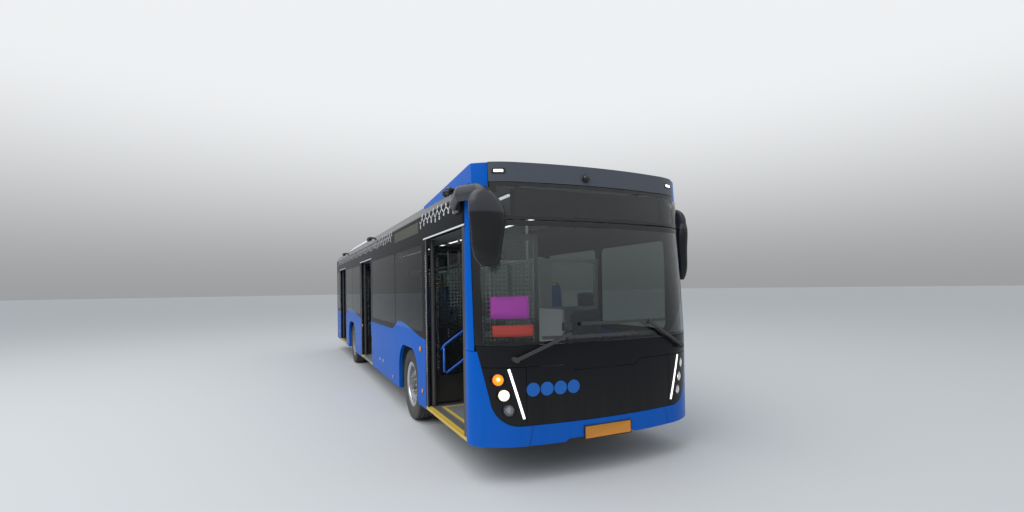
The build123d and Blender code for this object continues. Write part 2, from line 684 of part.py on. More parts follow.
def tyre_profile(x):
    """One tyre's half-section about its wheel's middle x, as a face in X and Z over the hub line."""
    half = tyre_width / 2
    belly = tyre_radius - 100
    wall_top = tyre_radius - 35
    shoulder = tyre_radius - 13
    tread_edge = tyre_radius - 5
    outline = [
        Line((x - half + 30, rim_radius), (x + half - 30, rim_radius)),
        Line((x + half - 30, rim_radius), (x + half - 30, rim_flange_radius)),
        Line((x + half - 30, rim_flange_radius), (x + half - 12, rim_flange_radius + 6)),
        ThreePointArc((x + half - 12, rim_flange_radius + 6), (x + half, belly), (x + half - 14, wall_top)),
        ThreePointArc((x + half - 14, wall_top), (x + half - 22, shoulder), (x + half - 42, tread_edge)),
        ThreePointArc((x + half - 42, tread_edge), (x, tyre_radius), (x - half + 42, tread_edge)),
        ThreePointArc((x - half + 42, tread_edge), (x - half + 22, shoulder), (x - half + 14, wall_top)),
        ThreePointArc((x - half + 14, wall_top), (x - half, belly), (x - half + 12, rim_flange_radius + 6)),
        Line((x - half + 12, rim_flange_radius + 6), (x - half + 30, rim_flange_radius)),
        Line((x - half + 30, rim_flange_radius), (x - half + 30, rim_radius)),
    ]
    return make_face(Wire(outline))


def revolved(face, side, y):
    """A face drawn in X and radius, turned about the axle line and set at the wheel."""
    drawn = Plane.XZ * face
    solid = revolve(drawn, Axis.X, 360)
    if side < 0:
        solid = solid.mirror(Plane.YZ)
    return Pos(0, y, hub_z) * solid


def rim_profile(x, disc_x, dish):
    """A rim's half-section: the barrel, and the disc that runs in from it to the hub."""
    half = tyre_width / 2
    points = [
        (x - half + 20, rim_radius - 12),
        (disc_x - 12, rim_radius - 12),
        (disc_x - 12 + dish * 0.4, 210),
        (disc_x - 12 + dish, 160),
        (disc_x - 12 + dish, stub_radius + fit),
        (disc_x + dish, stub_radius + fit),
        (disc_x + dish, 165),
        (disc_x + dish * 0.4, 222),
        (disc_x, rim_radius - 12),
        (x + half - 20, rim_radius - 12),
        (x + half - 20, rim_flange_radius),
        (x + half - 30, rim_flange_radius),
        (x + half - 30, rim_radius),
        (x - half + 30, rim_radius),
        (x - half + 30, rim_flange_radius),
        (x - half + 20, rim_flange_radius),
    ]
    return make_face(Polyline(points, close=True))


hand_holes = 10
hand_hole_radius = 21.0
hand_hole_circle = 212.0


def with_hand_holes(rim, side, y, x0, x1):
    """The rim with a ring of round holes through its disc between two distances across."""
    for i in range(hand_holes):
        turn = math.radians(360.0 / hand_holes * i)
        xs = sorted((side * x0, side * x1))
        rim -= tube_x(*xs, y + hand_hole_circle * math.sin(turn), hub_z + hand_hole_circle * math.cos(turn),
                      hand_hole_radius)
    return rim


for side, label in ((1, "left"), (-1, "right")):
    front_disc = wheel_x + 40
    rim = revolved(rim_profile(wheel_x, front_disc, 30), side, front_axle_y)
    nodes["front_" + label + "_rim"] = with_hand_holes(rim, side, front_axle_y, wheel_x, wheel_x + 90)
    nodes["front_" + label + "_tyre"] = revolved(tyre_profile(wheel_x), side, front_axle_y)
    inner_x = wheel_x - twin_pitch
    outer_rim = rim_profile(wheel_x, wheel_x - 30, -60)
    inner_rim = rim_profile(inner_x, inner_x + 30, 60)
    drum = make_face(Polyline([(inner_x + 90, stub_radius + fit), (wheel_x - 102, stub_radius + fit),
                               (wheel_x - 102, 160), (inner_x + 90, 160)], close=True))
    pair = revolved(outer_rim, side, rear_axle_y) + revolved(inner_rim, side, rear_axle_y)
    pair = with_hand_holes(pair, side, rear_axle_y, inner_x, wheel_x)
    nodes["rear_" + label + "_rims"] = pair + revolved(drum, side, rear_axle_y)
    nodes["rear_" + label + "_tyres"] = Compound(children=[
        revolved(tyre_profile(wheel_x), side, rear_axle_y),
        revolved(tyre_profile(inner_x), side, rear_axle_y),
    ])


# Doors: each leaf hangs on a turning post by an arm above it and an arm below it
def door_leaf(edge_y, inward):
    """An open leaf at the opening's edge, inward +1 or -1 along Y into the opening, with its brackets."""
    leaf_y = edge_y + inward * (post_u - leaf_offset)
    y0 = leaf_y - leaf_thickness / 2
    y1 = leaf_y + leaf_thickness / 2
    x0 = -half_width + post_v + leaf_end
    x1 = x0 + leaf_width
    leaf = block(x0, x1, y0, y1, leaf_low_z, leaf_high_z)
    pane_x = (x0 + leaf_stile, x1 - leaf_stile)
    pane_z = (leaf_low_z + leaf_foot, leaf_high_z - leaf_head)
    leaf -= block(*pane_x, y0 - past, y1 + past, *pane_z)
    pane = block(pane_x[0] + fit, pane_x[1] - fit, leaf_y - 4, leaf_y + 4, pane_z[0] + fit, pane_z[1] - fit)
    pin_x = -half_width + post_v + arm_length
    pin_y = edge_y + inward * post_u
    bracket_y = sorted((leaf_y, pin_y + inward * 18))
    for z0, z1 in ((leaf_low_z - 8, leaf_low_z), (leaf_high_z, leaf_high_z + 8)):
        leaf += block(pin_x - 22, pin_x + 22, *bracket_y, z0, z1)
    leaf += post_z(pin_x, pin_y, leaf_low_z - 18, leaf_low_z - 8, pivot_radius)
    leaf += post_z(pin_x, pin_y, leaf_high_z + 8, leaf_high_z + 24, pivot_radius)
    return Compound(children=[leaf, pane])


def door_post(edge_y, inward):
    """The turning post with its two arms pointing straight inward, at the opening's edge."""
    x = -half_width + post_v
    y = edge_y + inward * post_u
    pin_x = x + arm_length
    post = post_z(x, y, floor_z + fit, door_top_z - 2, post_radius)
    for z0, z1 in ((leaf_low_z - 19, leaf_low_z - 9), (leaf_high_z + 10, leaf_high_z + 24)):
        arm = block(x, pin_x, y - 16, y + 16, z0, z1) + post_z(pin_x, y, z0, z1, 20)
        arm -= post_z(pin_x, y, z0 - past, z1 + past, pivot_radius + fit)
        post += arm
    return post


header_depth = 330.0
header_height = 150.0
frames = []
for name, front_edge in doors:
    y0 = front_y + front_edge
    y1 = y0 + door_width
    for label, edge, inward in (("front", y0, 1), ("rear", y1, -1)):
        nodes[name + "_" + label + "_leaf"] = door_leaf(edge, inward)
        nodes[name + "_" + label + "_post"] = door_post(edge, inward)
        strip_y = sorted((edge, edge + inward * strip_width))
        frames.append(block(-half_width + 4, -half_width + 26, strip_y[0], strip_y[1], floor_z, door_top_z))
    frames.append(block(-half_width + wall + fit, -half_width + header_depth, y0 + 70, y1 + 20,
                        door_top_z + 1, door_top_z + header_height))
nodes["door_headers"] = Compound(children=frames)

# Driver's cab
driver_x = half_width - 515.0
dash_y = (front_split_y - 90.0, front_split_y + 300.0)
dash_side = [
    (dash_y[0], 820),
    (dash_y[1] - 60, 820),
    (dash_y[1], 1010),
    (dash_y[1] - 120, 1100),
    (dash_y[0] - 40, 1215),
    (dash_y[0] - 90, 1215),
    (dash_y[0] - 90, 900),
]
dash_x = (150.0, half_width - 95.0)
dash = extrude(Plane.YZ * make_face(Polyline(dash_side, close=True)), dash_x[1] - dash_x[0])
dash = Pos(dash_x[0], 0, 0) * dash
dash += block(420, dash_x[1], dash_y[0], dash_y[0] + 160, floor_z, 830)
pod_x = (driver_x - 200, driver_x + 200)
pod_side = [
    (dash_y[0] + 60, 1150),
    (dash_y[0] + 215, 1090),
    (dash_y[0] + 235, 1215),
    (dash_y[0] + 170, 1268),
    (dash_y[0] + 70, 1255),
]
pod = extrude(Plane.YZ * make_face(Polyline(pod_side, close=True)), pod_x[1] - pod_x[0])
dash += Pos(pod_x[0], 0, 0) * pod
dash &= hull(wall + 15)
nodes["dashboard"] = dash

wheel_centre = Vector(driver_x, front_y + 800, 1120)
steering_tilt = -35.0
ring = Torus(225, 14)
spokes = Box(440, 34, 12) + Pos(0, -110, 0) * Box(34, 210, 12)
hub = Cylinder(52, 40)
column = Pos(0, 0, -120) * Cylinder(26, 230)
steering_place = Location(wheel_centre, (steering_tilt, 0, 0))
nodes["steering_wheel"] = steering_place * (ring + spokes + hub + column)
nodes["dashboard"] -= steering_place * Pos(0, 0, -170) * Cylinder(26 + fit, 200)

seat_y = front_y + 1330.0
seat_x = driver_x
pan_z = (760.0, 800.0)
seat_frame = post_z(seat_x, seat_y, floor_z, pan_z[0], 70)
seat_frame += block(seat_x - 210, seat_x + 210, seat_y - 220, seat_y + 255, *pan_z)
seat_frame += block(seat_x - 190, seat_x + 190, seat_y + 225, seat_y + 255, pan_z[0] + 20, 1420)
nodes["driver_seat_frame"] = seat_frame
cushion = block(seat_x - 240, seat_x + 240, seat_y - 250, seat_y + 215, 800 + fit, 900)
cushion = fillet(cushion.edges().filter_by(Axis.Z), 50)
back = block(seat_x - 235, seat_x + 235, seat_y + 120, seat_y + 225 - fit, 900 + fit, 1500)
back = fillet(back.edges().filter_by(Axis.Y), 60)
head = block(seat_x - 130, seat_x + 130, seat_y + 130, seat_y + 220, 1500 + fit, 1700)
head = fillet(head.edges().filter_by(Axis.Y), 50)
nodes["driver_seat_cushions"] = Compound(children=[cushion, back, head])

cab_x = 180.0
cab_back_y = front_y + 1900.0
partition = block(cab_x, floor_x - 1, cab_back_y, cab_back_y + 35, floor_z + fit, 2150)
partition -= block(cab_x + 300, floor_x - 60, cab_back_y - 5, cab_back_y + 40, 1500, 2090)
partition += block(cab_x, cab_x + 35, cab_back_y - 160, cab_back_y, floor_z + fit, 2150)
cab_hinge_y = cab_back_y - 164.0
cab_pin = 3.7
hinges = [post_z(cab_x + cab_pin, cab_hinge_y, z, z + 70, cab_pin) for z in (480, 1340)]
nodes["cab_partition"] = Compound(children=[partition] + hinges)
cab_door_y = (front_y + 1130.0, cab_back_y - 168.0)
cab_door = block(cab_x, cab_x + 30, cab_door_y[0], cab_door_y[1], floor_z + 30, 1500)
nodes["cab_door"] = fillet(cab_door.edges().filter_by(Axis.X).sort_by(Axis.Z)[-2:], 60)

# Passenger seats: x of the seat's middle, distance of its back behind the nose, base height, facing
box_seat_x = half_width - 365.0
window_seat_x = half_width - 295.0
second_seat_x = half_width - 745.0
bench_x = half_width - 335.0
seat_rows = (
    (box_seat_x, 2740, box_top_z, 1), (box_seat_x, 2880, box_top_z, -1),
    (window_seat_x, 4300, floor_z, 1), (second_seat_x, 4300, floor_z, 1),
    (window_seat_x, 5100, floor_z, 1), (second_seat_x, 5100, floor_z, 1),
    (box_seat_x, 8710, box_top_z, 1), (box_seat_x, 8850, box_top_z, -1),
    (window_seat_x, 10250, floor_z, 1), (second_seat_x, 10250, floor_z, 1),
    (window_seat_x, 11000, floor_z, 1), (second_seat_x, 11000, floor_z, 1),
    (-box_seat_x, 2740, box_top_z, 1), (-box_seat_x, 2880, box_top_z, -1),
    (-window_seat_x, 4350, floor_z, 1), (-second_seat_x, 4350, floor_z, 1),
    (-window_seat_x, 5150, floor_z, 1), (-second_seat_x, 5150, floor_z, 1),
    (-box_seat_x, 8710, box_top_z, 1), (-box_seat_x, 8850, box_top_z, -1),
    (bench_x, 12090, podium_z, 1), (bench_x / 2, 12090, podium_z, 1), (0, 12090, podium_z, 1),
    (-bench_x / 2, 12090, podium_z, 1), (-bench_x, 12090, podium_z, 1),
)
seat_width = 430.0
seat_pan_rise = 400.0
box_pan_rise = 240.0


def passenger_seat(x, back_y, base, facing):
    """A moulded seat shell on one leg, its back at back_y, facing the front (+1) or the rear (-1)."""
    rise = box_pan_rise if base == box_top_z else seat_pan_rise
    pan = base + rise
    outline = [
        (0, pan - 40), (0, pan), (-20, pan + 130), (-70, pan + 520), (-40, pan + 530), (15, pan + 130),
        (60, pan + 40), (400, pan + 45), (440, pan + 10), (400, pan), (60, pan - 40),
    ]
    points = [(-p * facing, z) for p, z in outline]
    face = Plane.YZ * make_face(Polyline(points, close=True))
    shell_part = Pos(x - seat_width / 2, 0, 0) * extrude(face, seat_width)
    leg_y = sorted((-facing * 120, -facing * 250))
    leg = block(x - 60, x + 60, leg_y[0], leg_y[1], base, pan)
    return Pos(0, back_y, 0) * (shell_part + leg)


seats = [passenger_seat(x, front_y + distance, base, facing) for x, distance, base, facing in seat_rows]
nodes["passenger_seats"] = Compound(children=seats)

# Handrails beside the aisle: x, distance behind the nose
aisle_x = 290.0
poles = (
    (-aisle_x, 2250), (aisle_x, 2250), (-aisle_x, 3480), (aisle_x, 3480),
    (aisle_x, 4720), (-aisle_x, 5480), (aisle_x, 5900), (aisle_x, 7050),
    (-aisle_x, 7560), (aisle_x, 8050), (-aisle_x, 9620), (aisle_x, 9700), (aisle_x, 11300),
)
rail_ends = (2100.0, 11350.0)
rail_radius = 16.0
pole_radius = 17.5
cross_radius = 15.0
rail_z = 2130.0
pole_top_z = crown_z - wall - 11
cross_rails = (2250.0, 7560.0, 9620.0)
handrails = [post_z(x, front_y + distance, floor_z, pole_top_z, pole_radius) for x, distance in poles]
for side in (1, -1):
    middle = front_y + sum(rail_ends) / 2
    rail = Pos(side * aisle_x, middle, rail_z) * Rot(90, 0, 0) * Cylinder(
        rail_radius, rail_ends[1] - rail_ends[0])
    for x, distance in poles:
        if x * side > 0:
            rail -= post_z(x, front_y + distance, floor_z, pole_top_z, pole_radius + fit)
    handrails += rail.solids()
for distance in cross_rails:
    end = aisle_x - pole_radius - fit
    handrails.append(tube_x(-end, end, front_y + distance, rail_z, cross_radius))
nodes["handrails"] = Compound(children=handrails)

# Mirrors: a bowed arm from the roof edge that curls over into a tall rounded head
# side, head range across, head distance range, head z range, arm points as across, distance, z,
# with what lies across counted from the bus's side
mirror_table = (
    (-1, (-235.0, 100.0), (-85.0, 80.0), (1950.0, 2600.0),
     ((44, 580, 2575), (77, 330, 2625), (-10, 10, 2600), (-50, 0, 2420))),
    (1, (10.0, 175.0), (360.0, 520.0), (1830.0, 2500.0),
     ((44, 760, 2570), (55, 560, 2590), (95, 440, 2570), (95, 440, 2400))),
)
# The head's sections from foot to top: share of its height, of its width, of its depth, shift outwards
head_form = (
    (0.0, 0.34, 0.50, -0.02),
    (0.09, 0.66, 0.78, 0.0),
    (0.36, 0.86, 0.96, 0.01),
    (0.70, 1.0, 1.0, 0.0),
    (0.90, 0.80, 0.92, 0.08),
    (1.0, 0.46, 0.62, 0.12),
)
arm_bend = 90.0
arm_half_height = 70.0
arm_half_width = 40.0
pad_thickness = 24.0
mirrors = []
for side, head_x, head_y, head_z, points in mirror_table:
    route = [(side * (half_width + across), front_y + distance, z) for across, distance, z in points]
    path = FilletPolyline(route, radius=arm_bend)
    start = Plane(origin=route[0], z_dir=path % 0)
    arm = sweep(start * Ellipse(arm_half_height, arm_half_width), path)
    head_wide = head_x[1] - head_x[0]
    head_deep = head_y[1] - head_y[0]
    rings = []
    for up, wide, deep, shift in head_form:
        x = side * (half_width + sum(head_x) / 2 + shift * head_wide)
        z = head_z[0] + up * (head_z[1] - head_z[0])
        centre = Pos(x, front_y + sum(head_y) / 2, z)
        rings.append(centre * Ellipse(wide * head_wide / 2, deep * head_deep / 2))
    pad_y = route[0][1]
    pad = one_side(side, half_width, half_width + pad_thickness, pad_y - 75, pad_y + 75,
                   route[0][2] - 90, route[0][2] + 50)
    mirrors.append(arm + loft(rings) + pad)
nodes["mirrors"] = Compound(children=mirrors)

# Wipers: pivot x and z, elbow x and z, blade from x to x, blade height
wipers = (
    (-930.0, 1120.0, -420.0, 1330.0, -670.0, 350.0, 1305.0),
    (1010.0, 1130.0, 530.0, 1400.0, -280.0, 750.0, 1420.0),
)
blade_band = hull(-45.0) - hull(-12.0)
arm_band = hull(-62.0) - hull(-40.0)
joint_band = hull(-62.0) - hull(-12.0)
boss_band = hull(-62.0) - hull(0)
wiper_half = 14.0
wiper_solids = []
for pivot_x, pivot_z, elbow_x, elbow_z, blade_x0, blade_x1, blade_z in wipers:
    blade_zone = block(blade_x0, blade_x1, front_y - 100, front_split_y,
                       blade_z - wiper_half, blade_z + wiper_half)
    run = Vector(elbow_x - pivot_x, elbow_z - pivot_z).normalized()
    across = Vector(-run.Y, run.X) * wiper_half
    corners = [
        (pivot_x + across.X, pivot_z + across.Y),
        (elbow_x + across.X, elbow_z + across.Y),
        (elbow_x - across.X, elbow_z - across.Y),
        (pivot_x - across.X, pivot_z - across.Y),
    ]
    boss = Pos(pivot_x, front_y + 200, pivot_z) * Rot(90, 0, 0) * Cylinder(24, 700)
    joint_z = sorted((blade_z, elbow_z))
    joint_zone = block(elbow_x - 22, elbow_x + 22, front_y - 100, front_split_y,
                       joint_z[0] - wiper_half, joint_z[1] + wiper_half)
    blade = (blade_band & blade_zone) + (joint_band & joint_zone)
    arm = (arm_band & front_view_deep(corners)) + (boss_band & boss)
    wiper_solids.append(blade + arm)
nodes["wipers"] = Compound(children=wiper_solids)

os.makedirs("parts", exist_ok=True)
for name, solid in nodes.items():
    export_step(solid, "parts/" + name + ".step")
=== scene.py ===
"""The city bus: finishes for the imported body, and the pieces that the body carries."""
import math

import bpy
import numpy as np
from mathutils import Matrix, Vector


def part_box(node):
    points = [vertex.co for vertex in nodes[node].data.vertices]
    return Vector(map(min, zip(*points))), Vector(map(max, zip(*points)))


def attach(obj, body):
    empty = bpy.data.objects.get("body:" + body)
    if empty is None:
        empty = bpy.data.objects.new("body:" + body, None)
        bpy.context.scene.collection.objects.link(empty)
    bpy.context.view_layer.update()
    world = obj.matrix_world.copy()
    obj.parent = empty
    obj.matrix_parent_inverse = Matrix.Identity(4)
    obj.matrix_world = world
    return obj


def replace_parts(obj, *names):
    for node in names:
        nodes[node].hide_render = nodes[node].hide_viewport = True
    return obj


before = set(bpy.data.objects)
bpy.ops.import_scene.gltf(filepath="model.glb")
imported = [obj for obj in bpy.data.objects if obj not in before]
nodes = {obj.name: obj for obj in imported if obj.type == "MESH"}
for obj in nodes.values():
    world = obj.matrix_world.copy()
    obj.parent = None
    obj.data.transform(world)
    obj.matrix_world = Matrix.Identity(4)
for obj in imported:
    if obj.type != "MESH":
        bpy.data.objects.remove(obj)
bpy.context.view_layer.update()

# The ground and the light: a plain pale yard under an even, overcast sky, with one broad lamp
# overhead on the kerb side, as on a cloudy day. None of it belongs to the bus.


def add_node(tree, kind, inputs, **settings):
    """A shader node with its settings. Inputs go by name or place; each is a value, or a socket or
    Value to link."""
    made = tree.nodes.new("ShaderNode" + kind)
    for key, value in settings.items():
        setattr(made, key, value)
    for label, value in inputs.items():
        value = getattr(value, "socket", value)
        if isinstance(value, bpy.types.NodeSocket):
            tree.links.new(value, made.inputs[label])
        else:
            made.inputs[label].default_value = value
    return made


def placed(name, data):
    """A new object in the scene."""
    thing = bpy.data.objects.new(name, data)
    scene.collection.objects.link(thing)
    return thing


scene = bpy.context.scene
scene.view_settings.view_transform = "Standard"
scene.world = bpy.data.worlds.new("overcast_sky")
scene.world.use_nodes = True
sky = scene.world.node_tree
sky.nodes.clear()
sky_z = add_node(sky, "SeparateXYZ", {0: add_node(sky, "TexCoord", {}).outputs["Generated"]}).outputs["Z"]
sky_rise = add_node(sky, "MapRange", {"Value": sky_z, "From Min": -0.02, "From Max": 0.36, "To Min": 0.36,
                                      "To Max": 0.92}, interpolation_type="SMOOTHSTEP").outputs["Result"]
sky_light = add_node(sky, "Background", {"Color": (0.90, 0.95, 1.0, 1), "Strength": 0.75}).outputs[0]
sky_seen = add_node(sky, "Background", {"Color": (0.93, 0.95, 0.97, 1), "Strength": sky_rise}).outputs[0]
sky_ray = add_node(sky, "LightPath", {}).outputs
sky_shown = sky_ray["Is Transmission Ray"]
for label in ("Is Glossy Ray", "Is Camera Ray"):
    sky_shown = add_node(sky, "Math", {0: sky_ray[label], 1: sky_shown}, operation="MAXIMUM").outputs[0]
sky_mix = add_node(sky, "MixShader", {0: sky_shown, 1: sky_light, 2: sky_seen}).outputs[0]
add_node(sky, "OutputWorld", {"Surface": sky_mix})

yard_half = 240.0
yard_mesh = bpy.data.meshes.new("yard")
yard_corners = [(x * yard_half, y * yard_half, 0) for x, y in ((-1, -1), (1, -1), (1, 1), (-1, 1))]
yard_mesh.from_pydata(yard_corners, [], [(0, 1, 2, 3)])
yard_finish = bpy.data.materials.new("yard_concrete")
yard_finish.use_nodes = True
yard_shader = yard_finish.node_tree.nodes["Principled BSDF"]
yard_shader.inputs["Base Color"].default_value = (0.52, 0.53, 0.54, 1)
yard_shader.inputs["Roughness"].default_value = 0.75
yard_mesh.materials.append(yard_finish)

lamp_data = bpy.data.lights.new("soft_lamp", "AREA")
lamp_data.shape = "RECTANGLE"
lamp_data.size = 16.0
lamp_data.size_y = 22.0
lamp_data.energy = 2600.0
soft_lamp = placed("soft_lamp", lamp_data)
soft_lamp.location = (-9.0, -6.0, 15.0)
lamp_aim = Vector((0, -1, 1)) - soft_lamp.location
soft_lamp.rotation_euler = lamp_aim.to_track_quat("-Z", "Y").to_euler()
placed("yard", yard_mesh)

# The camera stands on the pavement ahead of the kerb-side front corner, at eye height, with the
# short lens of the photograph: a focal length of 499 pixels on a picture 1024 pixels wide.
picture_width = 1024.0
focal_pixels = 499.0
centre_drop_pixels = 26.9
eye_place = (-2.8136, -10.1795, 1.7608)
eye_yaw, eye_pitch, eye_roll = (math.radians(angle) for angle in (24.707, 0.607, -0.861))

camera_data = bpy.data.cameras.new("camera")
camera_data.sensor_width = 36.0
camera_data.lens = focal_pixels / picture_width * camera_data.sensor_width
camera_data.shift_y = centre_drop_pixels / picture_width
camera_data.clip_start = 0.05
camera_data.clip_end = 500.0
ahead = Vector((math.sin(eye_yaw) * math.cos(eye_pitch), math.cos(eye_yaw) * math.cos(eye_pitch),
                math.sin(eye_pitch)))
level_right = ahead.cross(Vector((0, 0, 1))).normalized()
level_up = level_right.cross(ahead)
right_hand = level_right * math.cos(eye_roll) + level_up * math.sin(eye_roll)
upward = level_up * math.cos(eye_roll) - level_right * math.sin(eye_roll)
scene.camera = placed("camera", camera_data)
scene.camera.matrix_world = (Matrix.Translation(eye_place)
                             @ Matrix((right_hand, upward, -ahead)).transposed().to_4x4())

# The body panels are sheet steel and moulded plastic, sprayed in deep gloss blue below and gloss
# black above a rising wave line. Wet streets leave a grey film that thickens towards the ground.


class Value:
    """A number socket of a node tree. Plus, minus and times each add one Math node to that tree."""

    def __init__(self, socket):
        self.socket = socket

    def __add__(self, other):
        return calculate("ADD", self, other)

    def __sub__(self, other):
        return calculate("SUBTRACT", self, other)

    def __rsub__(self, other):
        return calculate("SUBTRACT", other, self)

    def __mul__(self, other):
        return calculate("MULTIPLY", self, other)


class Place:
    """The Object coordinates in a node tree: the whole point, and x across, y along and z up."""

    def __init__(self, tree):
        self.point = add_node(tree, "TexCoord", {}).outputs["Object"]
        self.x, self.y, self.z = map(Value, add_node(tree, "SeparateXYZ", {0: self.point}).outputs)


def calculate(operation, a, b=0.0):
    """A Math node on two Values, or on a Value and a number, not clamped."""
    tree = (a if isinstance(a, Value) else b).socket.id_data
    return Value(add_node(tree, "Math", {0: a, 1: b}, operation=operation).outputs[0])


def fade(value, low, high):
    """0 where value is under low, 1 where it is over high, smooth between."""
    inputs = {"Value": value, "From Min": low, "From Max": high}
    made = add_node(value.socket.id_data, "MapRange", inputs, interpolation_type="SMOOTHSTEP")
    return Value(made.outputs["Result"])


def tint(mask, a, b):
    """Mixes colour a towards colour b by mask; a and b are colours or sockets. The colour sockets of a
    Mix node are its sixth, seventh and second."""
    a, b = ((*value, 1) if isinstance(value, tuple) else value for value in (a, b))
    return add_node(mask.socket.id_data, "Mix", {0: mask, 6: a, 7: b}, data_type="RGBA").outputs[2]


def noise(point, scale, detail=4.0):
    """A noise value over a point socket, in cycles a metre."""
    inputs = {"Vector": point, "Scale": scale, "Detail": detail}
    return Value(add_node(point.id_data, "TexNoise", inputs).outputs["Fac"])


def stretched(point, x, y, z):
    """The point socket with each axis scaled."""
    return add_node(point.id_data, "Mapping", {"Vector": point, "Scale": (x, y, z)}).outputs["Vector"]


def group(name, build, **inputs):
    """A shader node group: inputs are named with their default values, _ for a space, and build takes
    the place and their Values and returns the outputs by name."""
    tree = bpy.data.node_groups.new(name, "ShaderNodeTree")
    for label, value in inputs.items():
        kind = "NodeSocketColor" if isinstance(value, tuple) else "NodeSocketFloat"
        tree.interface.new_socket(label.replace("_", " "), socket_type=kind).default_value = value
    made = build(Place(tree), *map(Value, tree.nodes.new("NodeGroupInput").outputs[:len(inputs)]))
    ends = tree.nodes.new("NodeGroupOutput")
    for label, value in made.items():
        kind = "NodeSocketFloat" if isinstance(value, Value) else "NodeSocketColor"
        tree.interface.new_socket(label, in_out="OUTPUT", socket_type=kind)
        tree.links.new(getattr(value, "socket", value), ends.inputs[label])
    return tree


def road_film(at, colour, rough, amount):
    """Road film: thick at the skirt, gone by the waist, broken into specks and downward runs."""
    low = 1.0 - fade(at.z, 0.30, 1.25)
    runs = low * (noise(stretched(at.point, 14.0, 14.0, 0.8), 1.0) * 0.75)
    specks = fade(noise(at.point, 90.0, 2.0), 0.62, 0.72) * low
    cover = (runs + specks * 0.5 + noise(at.point, 1.3) * 0.05) * amount
    cover = calculate("MINIMUM", cover, 0.9)
    return {"Color": tint(cover, colour, (0.20, 0.19, 0.17)), "Roughness": rough + cover * 0.55}


def fine_grain(at, cycles, depth):
    """A fine uneven surface, from sprayed paint at a low depth to grained plastic at a high one."""
    return {"Height": noise(at.point, cycles, 3.0) * depth}


film = group("road_film", road_film, Color=(0.1, 0.1, 0.1, 1), Roughness=0.3, Amount=1.0)
grain = group("fine_grain", fine_grain, Cycles_a_metre=200.0, Depth=0.1)


def finish(name, colour, rough, dirt=0.0, cycles=220.0, depth=0.0004, relief=None, **constants):
    """A finish with road film and a fine grain. Colour is a triple or a function of the place that
    returns a colour socket, and relief a function that returns a height in metres. Constants are the
    shader's own sockets, with _ for a space."""
    made = bpy.data.materials.new(name)
    made.use_nodes = True
    tree = made.node_tree
    shader = tree.nodes["Principled BSDF"].inputs
    for label, value in constants.items():
        shader[label.replace("_", " ")].default_value = value
    colour = colour(Place(tree)) if callable(colour) else (*colour, 1)
    coat = add_node(tree, "Group", {"Color": colour, "Roughness": rough, "Amount": dirt}, node_tree=film)
    uneven = add_node(tree, "Group", {"Cycles a metre": cycles, "Depth": depth}, node_tree=grain)
    height = Value(uneven.outputs["Height"])
    if relief:
        height = height + relief(Place(tree))
    bump = add_node(tree, "Bump", {"Distance": 1.0, "Height": height})
    tree.links.new(coat.outputs["Color"], shader["Base Color"])
    tree.links.new(coat.outputs["Roughness"], shader["Roughness"])
    tree.links.new(bump.outputs["Normal"], shader["Normal"])
    return made


def sprayed(name, colour, rough, specular, dirt=0.09, depth=0.00006):
    """Body paint: a finish whose grain is the slight orange peel of a sprayed coat."""
    return finish(name, colour, rough, dirt=dirt, cycles=45.0, depth=depth, Specular_IOR_Level=specular)


def dress(made, *names):
    """Gives CAD nodes their finish."""
    for name in names:
        nodes[name].data.materials.clear()
        nodes[name].data.materials.append(made)


blue = (0.0, 0.098, 0.48)
black = (0.010, 0.011, 0.013)
inner_post_x = 1.2407
inner_post_foot = 1.192


def corner_colour(at):
    """Blue outside, black on the inner posts that the windscreen is glued to."""
    inner = calculate("LESS_THAN", calculate("ABSOLUTE", at.x), inner_post_x)
    return tint(inner * calculate("GREATER_THAN", at.z, inner_post_foot), blue, black)


dress(sprayed("blue_paint", blue, 0.20, 0.07), "front_bumper", "roof_fairing", "rear_wall",
      "rear_service_hatch")
dress(sprayed("corner_paint", corner_colour, 0.20, 0.07), "front_corner_panels")
dress(sprayed("black_paint", black, 0.18, 0.1, depth=0.00005), "cowl_panel", "front_service_panel",
      "front_lamp_panels")
dress(sprayed("mask_paint", (0.075, 0.085, 0.105), 0.30, 0.2, dirt=0.0, depth=0.00005), "front_mask")

# The side panels: black from the wave line up, so that the windows lie in one dark band, and blue
# below it. The line climbs over each axle and drops behind it. Both sides carry the same pattern.
wave_low = 1.165
wave_rise = 0.145
wave_humps = ((-4.35, -3.0, -2.88, -2.32), (0.95, 2.75, 3.05, 3.75))


def wave_colour(at):
    """Blue under the line z = low + rise * (climb - drop) over each hump, black above it."""
    line = wave_low
    for climb_start, climb_end, drop_start, drop_end in wave_humps:
        line = (fade(at.y, climb_start, climb_end) - fade(at.y, drop_start, drop_end)) * wave_rise + line
    return tint(fade(at.z - line, -0.001, 0.001), blue, black)


dress(sprayed("side_paint", wave_colour, 0.20, 0.015), "left_side_wall", "right_side_wall")

# The roof is one coved skin: black where it turns down to the sides, so that it carries on the
# window band, and pale grey on top, so that it stays cool in the sun.
cove_edge_x = 1.12


def roof_colour(at):
    """Black outside cove_edge_x, pale grey inside it."""
    out = calculate("ABSOLUTE", at.x)
    return tint(fade(out, cove_edge_x - 0.003, cove_edge_x + 0.003), (0.55, 0.56, 0.58), black)


dress(sprayed("roof_paint", roof_colour, 0.18, 0.12, dirt=0.0, depth=0.00008), "roof")
dress(finish("white_shell", (0.68, 0.70, 0.72), 0.35, cycles=300.0, depth=0.0002), "roof_air_conditioner")

# Pressed-on film: a white looping line along each cove and blue film over the foot of the panes
# where the wave line crosses them. Both are thin cut vinyl, laid on after painting.
both_sides = (1, -1)


